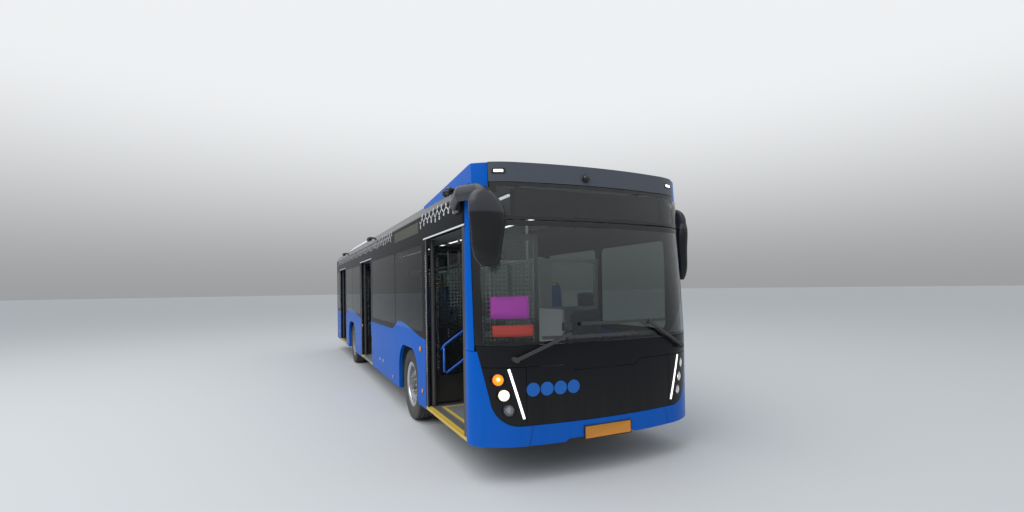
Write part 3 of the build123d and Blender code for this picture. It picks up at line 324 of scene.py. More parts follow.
def piece(name, shapes, made, body="body", smooth=True, sharp=None, depth=None):
    """A mesh object from a list of (points, faces) shapes, with a finish, riding on a body. Edges that
    bend by more than sharp radians stay sharp, and a sheet may be given a depth."""
    points, faces, start = [], [], 0
    for shape_points, shape_faces in shapes:
        points.append(np.asarray(shape_points, float).reshape(-1, 3))
        faces += [[int(i) + start for i in face] for face in shape_faces]
        start += len(points[-1])
    mesh = bpy.data.meshes.new(name)
    mesh.from_pydata(np.concatenate(points).tolist(), [], faces)
    mesh.materials.append(made)
    if smooth:
        mesh.shade_smooth()
    if sharp:
        mesh.set_sharp_from_angle(angle=sharp)
    thing = placed(name, mesh)
    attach(thing, body)
    if depth:
        thick = thing.modifiers.new("depth", "SOLIDIFY")
        thick.thickness = depth
        thick.offset = 0
    return thing


def grid(rows, columns, round_rows=False, round_columns=False):
    """The quads of a grid of points stored row by row, closed on itself either way where asked."""
    i = np.arange(rows if round_rows else rows - 1)[:, None]
    j = np.arange(columns if round_columns else columns - 1)[None, :]
    here, below, after = i * columns, (i + 1) % rows * columns, (j + 1) % columns
    return np.stack([here + j, here + after, below + after, below + j], axis=2).reshape(-1, 4)


def ribbon(along, across, width, lay):
    """A flat band of even width about the line (along, across): each point is moved half the width to
    both sides along the line's normal, then laid on the surface by lay(along, across)."""
    run = np.stack([np.gradient(along), np.gradient(across)], axis=1)
    run /= np.linalg.norm(run, axis=1)[:, None]
    edges = [lay(along - half * run[:, 1], across + half * run[:, 0]) for half in (-width / 2, width / 2)]
    return np.stack(edges, axis=1), grid(len(along), 2)


side_x = 1.275
cove_low = np.array([side_x, 2.652])
cove_high = np.array([1.197, 2.780])
film_lift = 0.0012


def on_cant(side):
    """Lays (y, height above or below the cant line, along the skin) on the upright panel under the roof
    edge and, above the line, on the slanted cove."""
    slope = (cove_high - cove_low) / np.linalg.norm(cove_high - cove_low)

    def lay(y, up):
        over = np.maximum(up, 0)
        x = cove_low[0] + slope[0] * over + film_lift
        z = cove_low[1] + np.minimum(up, 0) + slope[1] * over + film_lift * (up > 0)
        return np.stack([side * x, y, z], axis=1)

    return lay


loop_runs = ((-5.60, -4.15, 9), (-2.45, 5.6, 54))
loops = []
for side in both_sides:
    for y0, y1, count in loop_runs:
        t = np.linspace(0, count, count * 26 + 1)
        pitch = (y1 - y0) / count
        swell = 0.052 + 0.034 * np.cos(t * 0.7) ** 2
        y = y0 + pitch * t + pitch * 0.22 * np.sin(4 * math.pi * t)
        loops.append(ribbon(y, -0.062 + swell * np.sin(2 * math.pi * t), 0.013, on_cant(side)))
piece("cove_loops", loops, finish("film_white", (0.72, 0.73, 0.74), 0.35))


def wave_height(y):
    """The wave line's height at y: smooth steps up and down over each hump."""
    height = np.full_like(y, wave_low)
    for climb_start, climb_end, drop_start, drop_end in wave_humps:
        for sign, start, end in ((1, climb_start, climb_end), (-1, drop_start, drop_end)):
            t = np.clip((y - start) / (end - start), 0, 1)
            height += sign * wave_rise * t * t * (3 - 2 * t)
    return height


pane_foot = 1.238
foot_films = []
for side in both_sides:
    for y0, y1 in ((-3.95, -2.45), (1.65, 3.55)):
        y = np.linspace(y0, y1, 120)
        x = np.full_like(y, side * (side_x + film_lift))
        edges = (np.full_like(y, pane_foot), np.maximum(wave_height(y), pane_foot + 0.0005))
        foot_films.append((np.stack([np.stack([x, y, z], axis=1) for z in edges], axis=1), grid(len(y), 2)))
piece("pane_foot_film", foot_films, finish("blue_film", blue, 0.20, dirt=0.09, Specular_IOR_Level=0.07))

# Bonded glass: a clear laminated windscreen, grey side panes and a grey pane over the route sign.


def pane(name, colour, bend=1.45):
    """Glass with a plain transmission and a faint ripple; bend is its refractive index."""
    return finish(name, colour, 0.0, cycles=12.0, depth=0.00002, Transmission_Weight=1.0, IOR=bend)


sign_foot_z = 2.390


def front_glass_colour(at):
    """Clear up to the seam under the route sign, grey above it."""
    grey = fade(at.z, sign_foot_z - 0.004, sign_foot_z + 0.004)
    return tint(grey, (0.90, 0.96, 0.95), (0.42, 0.44, 0.46))


dress(pane("front_glass", front_glass_colour), "front_glass")
dress(pane("tinted_glass", (0.11, 0.13, 0.125), 1.13), "saloon_windows")

# Tyres and rims, axles and the frame under the floor: ribbed rubber, painted pressed steel, rough
# castings and black painted beams, all of them well inside the road film.
wheel_height = 0.475
axle_places = {"front": -3.4, "rear": 2.58}


def hypotenuse(a, b):
    """The length of the step (a, b), as a Value."""
    return calculate("SQRT", a * a + b * b)


def sidewall(axle):
    """Fine ribs moulded round the sidewall, 5 mm apart: a sine of the distance from the axle, gone on
    the tread, whose grooves are in the mesh."""
    def relief(at):
        reach = hypotenuse(at.y - axle_places[axle], at.z - wheel_height)
        bands = fade(calculate("SINE", reach * 1250.0), 0.2, 0.8)
        return bands * (1.0 - fade(reach, 0.440, 0.450)) * 0.0004

    return relief


rim_metal = finish("rim_metal", (0.55, 0.56, 0.58), 0.34, dirt=0.5, cycles=240.0, depth=0.0003,
                   Metallic=0.85)
chassis_black = finish("chassis_black", (0.03, 0.03, 0.032), 0.5, dirt=0.9, cycles=160.0, depth=0.0006)
cast_metal = finish("cast_metal", (0.12, 0.12, 0.125), 0.6, dirt=0.6, cycles=120.0, depth=0.0012,
                    Metallic=0.4)
rubber = {axle: finish(axle + "_tyre_rubber", (0.022, 0.022, 0.022), 0.75, dirt=0.6, cycles=500.0,
                       relief=sidewall(axle)) for axle in axle_places}
for side in ("left", "right"):
    dress(rim_metal, "front_" + side + "_rim", "rear_" + side + "_rims")
    dress(rubber["front"], "front_" + side + "_tyre")
    dress(rubber["rear"], "rear_" + side + "_tyres")
dress(chassis_black, "chassis_frame", "driver_seat_frame")
dress(cast_metal, "axles", "engine", "left_knuckle", "right_knuckle")
dress(finish("spring_rubber", (0.03, 0.03, 0.03), 0.7, cycles=300.0, depth=0.0006), "air_springs")

# Inside: vinyl floor, moulded seats, painted poles and the driver's place. The floor is flecked
# safety vinyl, and the ramp a plate of rolled chequer metal.


def flecks(at):
    """Grey vinyl with pale and dark flecks pressed in, as safety flooring has."""
    pale = fade(noise(at.point, 240.0, 1.0), 0.66, 0.70)
    dark = fade(noise(stretched(at.point, 1.1, 0.9, 1.0), 310.0, 1.0), 0.66, 0.70)
    return tint(dark, tint(pale, (0.15, 0.16, 0.17), (0.42, 0.43, 0.44)), (0.05, 0.05, 0.055))


def lozenges(at):
    """Rolled chequer plate: short raised bars that lie one way and then the other, 28 mm apart."""
    product = calculate("SINE", (at.x + at.y) * 112.0) * calculate("SINE", (at.x - at.y) * 112.0)
    return fade(product, 0.45, 0.75) * 0.0012


dark_plastic = finish("dark_plastic", (0.035, 0.036, 0.038), 0.55, cycles=900.0, depth=0.0005)
dress(dark_plastic, "dashboard", "steering_wheel", "wipers")
dress(finish("floor_vinyl", flecks, 0.55, cycles=700.0, depth=0.0004), "floor")
dress(finish("box_vinyl", (0.11, 0.115, 0.12), 0.6, cycles=500.0, depth=0.0006), "wheel_boxes")
dress(finish("ramp_metal", (0.45, 0.46, 0.47), 0.42, cycles=90.0, depth=0.0002, relief=lozenges,
             Metallic=0.8), "wheelchair_ramp")
dress(finish("seat_shell", (0.05, 0.13, 0.36), 0.38, cycles=400.0, depth=0.0003), "passenger_seats")
dress(finish("pole_paint", (0.74, 0.75, 0.73), 0.30, cycles=200.0, depth=0.0001), "handrails")
for name, node in (("cab_panel", "cab_partition"), ("cab_door_panel", "cab_door")):
    dress(finish(name, (0.30, 0.31, 0.32), 0.5, cycles=600.0, depth=0.0003), node)
dress(finish("seat_cloth", (0.05, 0.055, 0.07), 0.9, cycles=900.0, depth=0.001), "driver_seat_cushions")
dress(finish("lamp_glass", (0.7, 0.7, 0.7), 0.1), "lamps")

# Tyres, 275 mm wide and 950 mm over the tread: moulded rubber with four wide grooves round it, blocks
# between them, and a ribbed wall. The two rear ones on each side are like the front one.
wheel_x = 1.098
inner_wheel_x = 0.788
groove_places = (-0.078, -0.027, 0.027, 0.078)
groove_half = 0.0055
groove_depth = 0.014
tread_blocks = 66
slit_share = 0.26
slit_depth = 0.006
slit_slant = 9.0
slits_end = 0.126


def turned(profile, x, y, count, swell=None):
    """A profile of (distance along the axle, radius) turned about an axle along X through (y, wheel
    height): the point at angle a is (x + along, y + r sin a, z + r cos a). swell adds to r by (along,
    angle)."""
    profile = np.asarray(profile, float)
    angle = np.linspace(0, 2 * math.pi, count, endpoint=False)[:, None]
    along = np.broadcast_to(profile[:, 0], (count, len(profile)))
    radius = np.broadcast_to(profile[:, 1], (count, len(profile)))
    if swell:
        radius = radius + swell(along, angle)
    points = np.stack([x + along, y + radius * np.sin(angle), wheel_height + radius * np.cos(angle)], axis=2)
    return points, grid(count, len(profile), round_rows=True)


def tread_cut(along, angle):
    """Minus the groove depth at the grooves, and minus a slit's depth between one block and the next:
    where the share of a block's turn that is past, plus slant times the distance from the middle, is
    under slit_share."""
    cut = np.zeros(np.broadcast(along, angle).shape)
    for place in groove_places:
        cut = np.where(np.abs(along - place) < groove_half, -groove_depth, cut)
    phase = (angle / (2 * math.pi) * tread_blocks + np.abs(along) * slit_slant) % 1.0
    slit = (phase < slit_share) & (np.abs(along) < slits_end) & (cut == 0)
    return np.where(slit, -slit_depth, cut)


# half-section of the tyre from bead to middle as (along, radius), mirrored about its middle
tyre_half = [(0.1070, 0.2870), (0.1085, 0.3000), (0.1250, 0.3100), (0.1330, 0.3350), (0.1368, 0.3600),
             (0.1374, 0.3640), (0.1360, 0.3680), (0.1366, 0.3900), (0.1340, 0.4150), (0.1322, 0.4180),
             (0.1326, 0.4220), (0.1280, 0.4420), (0.1235, 0.4560), (0.1200, 0.4640), (0.1130, 0.4685),
             (0.1000, 0.4712), (0.0900, 0.4725)]
tyre_half += [(place + step, 0.4740) for place in groove_places[:1:-1]
              for step in (0.0062, 0.0054, -0.0054, -0.0062)]
tyre_profile = tyre_half + [(0.0, 0.4748)] + [(-a, r) for a, r in reversed(tyre_half)]
tyres = (
    ("front_left_tyre", "front_left_wheel", (wheel_x,)),
    ("front_right_tyre", "front_right_wheel", (-wheel_x,)),
    ("rear_left_tyres", "rear_left_wheels", (wheel_x, inner_wheel_x)),
    ("rear_right_tyres", "rear_right_wheels", (-wheel_x, -inner_wheel_x)),
)
for node, body, places in tyres:
    axle = node.split("_")[0]
    shapes = [turned(tyre_profile, x, axle_places[axle], 4 * tread_blocks, tread_cut) for x in places]
    shapes = [(points, faces[:, ::-1]) for points, faces in shapes]
    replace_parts(piece(node + "_moulded", shapes, rubber[axle], body, sharp=math.radians(35)), node)

# Wheel fittings: ten studs with nuts and a stepped hub cover on each outer disc, pressed steel with a
# bright polished trim ring on the front pair.
stud_count = 10
stud_circle = 0.1675
bright_metal = finish("bright_metal", (0.62, 0.63, 0.65), 0.16, dirt=0.25, Metallic=1.0)
nut_metal = finish("nut_metal", (0.42, 0.42, 0.43), 0.35, dirt=0.4, Metallic=0.9)


def nut(x0, x1, y, z, across, sides=6):
    """A nut along X from x0 to x1 as a prism whose outer edge is drawn in: rings of sides points."""
    profile = [(x0, 1.0), (x0 + (x1 - x0) * 0.82, 1.0), (x1, 0.82), (x1, 0.0)]
    angle = np.linspace(0, 2 * math.pi, sides, endpoint=False)
    rings = [np.stack([np.full(sides, x), y + r * np.sin(angle), z + r * np.cos(angle)], axis=1)
             for x, r in ((x, across / 2 * share) for x, share in profile)]
    return rings, grid(len(profile), sides, round_columns=True)


# body, side, outer face of the disc, reach of the hub cover beyond it
wheel_faces = (
    ("front_left_wheel", 1, 1.168, 0.036),
    ("front_right_wheel", -1, 1.168, 0.036),
    ("rear_left_wheels", 1, 1.008, 0.075),
    ("rear_right_wheels", -1, 1.008, 0.075),
)
for body, side, disc_x, reach in wheel_faces:
    y = axle_places[body.split("_")[0]]
    shapes = []
    for k in range(stud_count):
        turn_by = 2 * math.pi * (k + 0.5) / stud_count
        stud_y = y + stud_circle * 0.75 * math.sin(turn_by)
        stud_z = wheel_height + stud_circle * 0.75 * math.cos(turn_by)
        shapes.append(nut(side * (disc_x - 0.002), side * (disc_x + 0.026), stud_y, stud_z, 0.034))
        shapes.append(nut(side * (disc_x + 0.026), side * (disc_x + 0.038), stud_y, stud_z, 0.022, 12))
    piece(body + "_nuts", shapes, nut_metal, body, smooth=False)
    cover = [(-0.004, 0.100), (0.008, 0.100), (0.012, 0.094), (0.014, 0.078), (reach - 0.004, 0.074),
             (reach, 0.068), (reach, 0.040), (reach - 0.006, 0.034), (reach - 0.006, 0.0)]
    cover = turned([(side * (disc_x + a), r) for a, r in cover], 0, y, 64)
    piece(body + "_hub_cover", [cover], cast_metal, body, sharp=math.radians(40))
    if body.startswith("front"):
        ring = [(1.198, 0.246), (1.206, 0.250), (1.2145, 0.262), (1.2175, 0.278), (1.217, 0.296),
                (1.2125, 0.3055), (1.204, 0.3065), (1.203, 0.300)]
        ring = turned([(side * a, r) for a, r in ring], 0, y, 96)
        piece(body + "_trim_ring", [ring], bright_metal, body)

# The front: three round lamps a side in dark bezels, a white light strip leaning beside each set, blue
# discs and a blank plate. Lamps are glass over a bright bowl; strips and discs lie on the shell.
nose_reach = 5.0
flank_reach = 0.740
flank_turn = math.asin(0.17)
corner_turn = math.radians(40.0)


def in_plan(turn):
    """The unit step in plan that points ahead, turned by the angle towards the side."""
    return np.array([math.sin(turn), -math.cos(turn)])


nose_centre = np.array([0.0, -6.2 + nose_reach])
flank_centre = nose_centre + (nose_reach - flank_reach) * in_plan(flank_turn)
corner_from = flank_centre[0] + flank_reach * math.sin(corner_turn)
corner_reach = (side_x - corner_from) / (1 - math.sin(corner_turn))
corner_centre = flank_centre + (flank_reach - corner_reach) * in_plan(corner_turn)
front_arcs = ((0.0, nose_centre, nose_reach), (nose_reach * math.sin(flank_turn), flank_centre, flank_reach),
              (corner_from, corner_centre, corner_reach))
rake_from = 1.25
rake = 0.07


def on_front(x, z, lift=0.0):
    """The front shell at x across and z up, pushed out by lift along its normal in plan: three arcs a
    side, the nose, the flank and the corner, leaning back by rake above rake_from."""
    x, z = np.asarray(x, float), np.asarray(z, float)
    size = np.abs(x)
    out_x, y = np.zeros_like(size), np.zeros_like(size)
    for start, centre, arc in front_arcs:
        angle = np.arcsin(np.clip((size - centre[0]) / arc, -1, 1))
        out_x = np.where(size >= start, centre[0] + (arc + lift) * np.sin(angle), out_x)
        y = np.where(size >= start, centre[1] - (arc + lift) * np.cos(angle), y)
    y = y + rake * np.maximum(z - rake_from, 0)
    return np.stack(np.broadcast_arrays(np.sign(x + 1e-12) * out_x, y, z), axis=-1)


def front_normal(x):
    """The front shell's outward normal in plan at x."""
    run = on_front(x + 1e-4, 0.9) - on_front(x - 1e-4, 0.9)
    run /= np.linalg.norm(run)
    return np.array([run[1], -run[0], 0.0])


def spun(profile, centre, axis, count):
    """A profile of (height along the axis, radius) turned about that axis from a centre."""
    axis = np.asarray(axis, float) / np.linalg.norm(axis)
    u = np.cross((0.0, 0.0, 1.0) if abs(axis[2]) < 0.9 else (1.0, 0.0, 0.0), axis)
    u /= np.linalg.norm(u)
    profile = np.asarray(profile, float)
    angle = np.linspace(0, 2 * math.pi, count, endpoint=False)[:, None, None]
    ring = u * np.cos(angle) + np.cross(axis, u) * np.sin(angle)
    points = np.asarray(centre) + profile[None, :, :1] * axis + profile[None, :, 1:2] * ring
    return points, grid(count, len(profile), round_rows=True)


def glow(name, colour, strength, base=(0.8, 0.8, 0.8)):
    """A lit lens: a pale plastic that gives off light."""
    return finish(name, base, 0.3, Emission_Color=(*colour, 1), Emission_Strength=strength)


bezel_black = finish("bezel_black", (0.012, 0.012, 0.013), 0.3)
lamp_finishes = {
    "lamp_bezels": bezel_black,
    "lamp_bowls": finish("bowl_metal", (0.75, 0.76, 0.78), 0.12, Metallic=1.0, cycles=60.0, depth=0.0004),
    "lamp_covers": pane("lens_clear", (0.95, 0.96, 0.97), 1.12),
    "amber_rings": glow("lit_amber", (1.0, 0.20, 0.008), 2.2, (0.8, 0.2, 0.02)),
    "white_lenses": glow("lit_white", (1.0, 0.80, 0.55), 2.6),
    "grey_lenses": finish("unlit_lens", (0.35, 0.36, 0.38), 0.12, cycles=300.0, depth=0.0008, Metallic=0.3),
}
lamps = {name: [] for name in lamp_finishes}
# x, z, radius and lens of each lamp of a set
for x, z, radius, kind in ((1.068, 0.938, 0.062, "amber_rings"), (1.021, 0.798, 0.062, "white_lenses"),
                           (0.982, 0.664, 0.058, "grey_lenses")):
    profiles = [
        ("lamp_bezels", 48, [(-0.030, radius - 0.002), (0.0015, radius - 0.002), (0.0035, radius - 0.005),
                             (0.0035, radius - 0.008), (-0.004, radius - 0.013), (-0.020, radius - 0.014)]),
        ("lamp_bowls", 48, [(-0.006, radius - 0.013), (-0.018, radius - 0.018), (-0.034, radius * 0.52),
                            (-0.038, radius * 0.30), (-0.038, 0.0)]),
        ("lamp_covers", 40, [(-0.005, radius - 0.012), (-0.001, radius - 0.016), (0.0005, radius * 0.5),
                             (0.001, 0.0)])]
    if kind == "amber_rings":
        profiles.append((kind, 36, [(-0.032, 0.030), (-0.020, 0.028), (-0.014, 0.022), (-0.020, 0.015),
                                    (-0.034, 0.013)]))
        profiles.append(("white_lenses", 24, [(-0.036, 0.012), (-0.026, 0.009), (-0.024, 0.0)]))
    else:
        profiles.append((kind, 36, [(-0.036, 0.034), (-0.022, 0.031), (-0.012, 0.018), (-0.010, 0.0)]))
    for side in both_sides:
        for name, count, profile in profiles:
            lamps[name].append(spun(profile, on_front(side * x, z), front_normal(side * x), count))
for name, shapes in lamps.items():
    made = piece(name, shapes, lamp_finishes[name])
    if name == "lamp_bezels":
        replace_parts(made, "lamps")

# The light strips, discs and cards: thin pressed or printed pieces, each with its own outline laid on
# the front shell or just behind the glass.
strip_top = (0.979, 1.034)
strip_foot = (0.847, 0.583)


def front_lines(top, foot, count, width, lift):
    """A straight band on each side of the front shell, from its top to its foot."""
    x, z = (np.linspace(a, b, count) for a, b in zip(top, foot))
    return [ribbon(side * x, z, width, lambda a, b: on_front(a, b, lift)) for side in both_sides]


def disc(x, z, radius, lay, rings=6, around=48):
    """A flat round sheet about (x, z), laid on the surface by lay(x, z)."""
    r = np.linspace(1e-4, radius, rings)[:, None]
    a = np.linspace(0, 2 * math.pi, around, endpoint=False)[None, :]
    return lay(x + r * np.cos(a), z + r * np.sin(a)), grid(rings, around, round_columns=True)


def card(x0, x1, z0, z1, lift, columns=16, rows=4):
    """A sheet over a span of the front shell, lift out from it."""
    x, z = np.meshgrid(np.linspace(x0, x1, columns), np.linspace(z0, z1, rows))
    return on_front(x, z, lift), grid(rows, columns)


piece("light_strips", front_lines(strip_top, strip_foot, 30, 0.021, 0.004),
      glow("strip_white", (1.0, 0.97, 0.92), 1.6), depth=0.004)
# narrow dark joints where the bumper's middle meets its corners
piece("bumper_joints", front_lines((0.800, 0.337), (0.7618, 0.528), 12, 0.0045, 0.0010),
      finish("joint_dark", (0.004, 0.004, 0.005), 0.6, cycles=400.0, depth=0.0002))
discs = [disc(x, 0.84, 0.0625, lambda a, b: on_front(a, b, 0.0012)) for x in (-0.76, -0.627, -0.494, -0.361)]
piece("blue_discs", discs, finish("disc_blue", (0.012, 0.12, 0.46), 0.35, dirt=0.1, Specular_IOR_Level=0.2),
      "front_flap")
for name, span, colour in (("upper_card", (-1.115, -0.775, 1.485, 1.685), (0.60, 0.02, 0.54)),
                           ("lower_card", (-1.105, -0.740, 1.322, 1.425), (0.72, 0.03, 0.015))):
    piece(name, [card(*span, -0.022)], finish(name + "_stock", colour, 0.5, cycles=500.0),
          depth=0.003)

# The number plate: a blank yellow pressed plate in a dark holder on the bumper. Both are raised in
# steps, with round corners and a narrow bevel.
plate_x = 0.01
plate_z = 0.398
plate_half = (0.260, 0.056)


def rounded(half_x, half_z, radius, steps=6):
    """The outline of a rectangle with round corners, anticlockwise, about its middle."""
    turns = np.concatenate([np.linspace(q, q + math.pi / 2, steps) for q in np.arange(4) * math.pi / 2])
    x = np.repeat([1, -1, -1, 1], steps) * (half_x - radius) + radius * np.cos(turns)
    z = np.repeat([1, 1, -1, -1], steps) * (half_z - radius) + radius * np.sin(turns)
    return np.stack([x, z], axis=1)


def plaque(half_x, half_z, radius, levels, place):
    """Nested outlines as one raised plate: levels are (drawn in, lift), the last one closed by a middle
    point; place(x, z, lift) puts them in space."""
    rings = []
    for inset, lift in levels:
        outline = rounded(half_x - inset, half_z - inset, max(radius - inset, 0.002))
        rings.append(place(outline[:, 0], outline[:, 1], lift))
    rings.append(place(np.zeros(len(outline)), np.zeros(len(outline)), lift))
    return rings, grid(len(rings), len(outline), round_columns=True)


def flat(origin, right, ahead):
    """Lays (a, b, lift) on an upright plane through the origin: a to the right, b up, lift ahead of it."""
    right, ahead = np.array(right), np.array(ahead)
    return lambda a, b, lift=0.0: origin + np.outer(a, right) + np.outer(b, (0, 0, 1)) + lift * ahead


on_bumper = flat((plate_x, -6.2, plate_z), (1, 0, 0), (0, -1, 0))
holder = plaque(plate_half[0] + 0.010, plate_half[1] + 0.010, 0.012,
                [(0, -0.012), (0, 0.006), (0.002, 0.008), (0.007, 0.008), (0.009, 0.005)], on_bumper)
piece("plate_holder", [holder], bezel_black, sharp=0.6)
plate = plaque(*plate_half, 0.010, [(0, 0.004), (0, 0.0065), (0.0015, 0.0075), (0.005, 0.0075),
                                    (0.0065, 0.0067)], on_bumper)
plate_yellow = finish("plate_yellow", (0.60, 0.23, 0.014), 0.4, dirt=0.1, cycles=300.0, depth=0.0002)
piece("number_plate", [plate], plate_yellow, sharp=0.6)

# The glass edges: black ceramic borders printed on the windscreen and on the pane over the route sign,
# where they are glued in, and the route signs behind: unlit dot panels in black boxes.
screen_edge = 1.2360
borders = (
    (-screen_edge, -1.180, 1.246, 2.384),
    (1.180, screen_edge, 1.246, 2.384),
    (-1.180, 1.180, 1.246, 1.272),
    (-1.180, 1.180, 2.335, 2.384),
    (-1.180, 1.180, 2.396, 2.425),
    (-screen_edge, -1.060, 2.396, 2.640),
    (1.060, screen_edge, 2.396, 2.640),
    (-1.082, -1.030, 2.640, 2.737),
    (1.030, 1.082, 2.640, 2.737),
    (-1.030, 1.030, 2.705, 2.737),
)
piece("glass_borders", [card(*span, 0.0008, columns=40) for span in borders],
      finish("border_black", (0.008, 0.008, 0.009), 0.10, cycles=30.0, depth=0.00003))


def lattice(across, up, pitch):
    """The distance to the nearest dot's middle in a square lattice, as a share of its pitch."""
    return hypotenuse(*(calculate("FRACT", value * (1 / pitch)) - 0.5 for value in (across, up)))


def sign_colour(at):
    """Unlit dots of olive plastic on black, one every 10 mm, both on the front sign and the side one."""
    near = lattice(at.x + at.y, at.z, 0.010)
    return tint(fade(near, 0.30, 0.34), (0.085, 0.09, 0.045), (0.010, 0.010, 0.011))


dress(finish("sign_panel", sign_colour, 0.45, cycles=300.0, depth=0.0001), "route_displays")

# Mirrors: moulded housings, black below and dark grey where the arm curls over, with the glass set
# into the side that faces the driver and a joint ring where the arm meets its foot.


def mirror_colour(at):
    """Black up to the shoulder of the head, grey over it and along the arm."""
    return tint(fade(at.z, 2.40, 2.43), (0.010, 0.011, 0.012), (0.040, 0.042, 0.049))


dress(finish("mirror_shell", mirror_colour, 0.24, cycles=120.0, depth=0.0001, Specular_IOR_Level=0.3),
      "mirrors")
rims, glasses = [], []
# middle of the housing's back, half width, half height
mirror_backs = (((-1.2075, -6.118, 2.270), 0.115, 0.235), ((1.3675, -5.681, 2.170), 0.050, 0.240))
for middle, half_x, half_z in mirror_backs:
    behind = flat(middle, (-1, 0, 0), (0, 1, 0))
    rims.append(plaque(half_x, half_z, half_x * 0.9, [(0, -0.030), (0, 0.0), (0.004, 0.006), (0.012, 0.006),
                                                      (0.014, 0.002)], behind))
    glasses.append(plaque(half_x - 0.013, half_z - 0.013, half_x * 0.8, [(0, 0.0), (0, 0.0022)], behind))
piece("mirror_rims", rims, bezel_black, sharp=0.6)
piece("mirror_glasses", glasses, finish("mirror_glass", (0.80, 0.82, 0.84), 0.02, cycles=8.0, depth=0.00002,
                                        Metallic=1.0), smooth=False)

# Doors: each leaf is a black aluminium frame round a pane printed with black dots that thin out
# upwards, with a blue grab handle inside and rubber along its foot. The leaves stand open.
door_fronts = (("front_door", -5.780), ("middle_door", -0.430), ("rear_door", 3.780))
door_width = 1.436
door_top_z = 2.347
leaf_x = (-1.143, -0.519)
leaf_z = (0.400, 2.285)
leaf_back = 0.020
leaf_half = 0.018
pane_x = (leaf_x[0] + 0.045, leaf_x[1] - 0.045)
pane_z = (leaf_z[0] + 0.330, leaf_z[1] - 0.060)
floor_z = 0.375


def bar(x0, x1, y0, y1, z0, z1, drawn=0.0015):
    """A straight bar whose edges are drawn in at both ends in y, as a small bevel."""
    outline = np.array([(x0, z0), (x1, z0), (x1, z1), (x0, z1)])
    inward = outline.mean(axis=0) - outline
    inner = outline + inward / np.linalg.norm(inward, axis=1)[:, None] * drawn
    rings = [np.insert(ring, 1, y, axis=1)
             for ring, y in ((inner, y0), (outline, y0 + drawn), (outline, y1 - drawn), (inner, y1))]
    return rings, grid(4, 4, round_columns=True)[:, ::-1].tolist() + [[0, 1, 2, 3], [15, 14, 13, 12]]


def pipe(route, radius, sides=12):
    """A round tube along a route of points, each ring square to the bisector of its two runs."""
    route = np.asarray(route, float)
    runs = np.diff(route, axis=0)
    runs /= np.linalg.norm(runs, axis=1)[:, None]
    ways = np.vstack([runs[:1], runs[:-1] + runs[1:], runs[-1:]])
    ways /= np.linalg.norm(ways, axis=1)[:, None]
    angle = np.linspace(0, 2 * math.pi, sides, endpoint=False)[:, None]
    u = np.cross(ways[0], (0.0, 0.0, 1.0))
    if np.linalg.norm(u) < 0.2:
        u = np.cross(ways[0], (1.0, 0.0, 0.0))
    rings = []
    for place, way in zip(route, ways):
        u = u - way * np.dot(u, way)
        u /= np.linalg.norm(u)
        rings.append(place + radius * (np.cos(angle) * u + np.sin(angle) * np.cross(way, u)))
    last = (len(route) - 1) * sides
    ends = [list(range(sides))[::-1], list(range(last, last + sides))]
    return rings, grid(len(route), sides, round_columns=True).tolist() + ends


def rounded_route(corners, radius, steps=5):
    """A route with each inner corner replaced by an arc-like quadratic curve of about that radius."""
    corners = [np.asarray(corner, float) for corner in corners]
    route = [corners[0]]
    for before, here, after in zip(corners, corners[1:], corners[2:]):
        a, b = (here + (end - here) / np.linalg.norm(end - here) * radius for end in (before, after))
        route += [(1 - t) ** 2 * a + 2 * t * (1 - t) * here + t ** 2 * b for t in np.linspace(0, 1, steps)]
    return route + [corners[-1]]


def dots(rows, row_pitch, columns, column_pitch, largest, least, stray, sign, way, lay):
    """Eight-sided printed dots in rows upwards from z = 0.80, each of random size and a little off its
    place. Each is drawn round the way given, starting from the sign's side; lay(across, up) puts it in
    space."""
    made = []
    turns = np.arange(8) * math.pi / 4 * way
    for row in range(rows):
        for column in columns:
            size = largest * generator.uniform(least, 1.0)
            across = column * column_pitch + generator.normal(0, stray)
            up = 0.80 + row * row_pitch + generator.normal(0, 0.002)
            made.append((lay(across + sign * size * np.cos(turns), up + size * np.sin(turns)), [range(8)]))
    return made


dot_pitch = 0.041


def dot_cover(at):
    """How much black the printed dots leave: full low down, shrinking to specks near the pane's top."""
    reach = 0.50 - fade(at.z, 1.30, 2.20) * 0.36
    return calculate("LESS_THAN", lattice(at.x, at.z, dot_pitch), reach)


generator = np.random.default_rng(7)
dot_pale = finish("dot_pale", (0.50, 0.51, 0.50), 0.4)
door_glass = pane("door_glass", (0.55, 0.62, 0.60))
dot_print = finish("dot_print", (0.012, 0.014, 0.014), 0.3, cycles=300.0, depth=0.0001)
dot_tree = dot_print.node_tree
dot_tree.links.new(dot_cover(Place(dot_tree)).socket, dot_tree.nodes["Principled BSDF"].inputs["Alpha"])
leaf_paint = finish("leaf_paint", (0.012, 0.012, 0.013), 0.25, dirt=0.2, cycles=200.0, depth=0.0001)
handle_blue = finish("handle_blue", (0.003, 0.10, 0.50), 0.28, cycles=300.0, depth=0.0002, Coat_Weight=0.4)
door_rubber = finish("door_rubber", (0.018, 0.018, 0.018), 0.65, cycles=500.0, depth=0.0004)
handle_radius = 0.016
handle_stand = 0.052
pin_x = -0.831
door_edges = [(door + "_" + edge, front_y + shift, inward) for door, front_y in door_fronts
              for edge, shift, inward in (("front", 0.0, 1), ("rear", door_width, -1))]
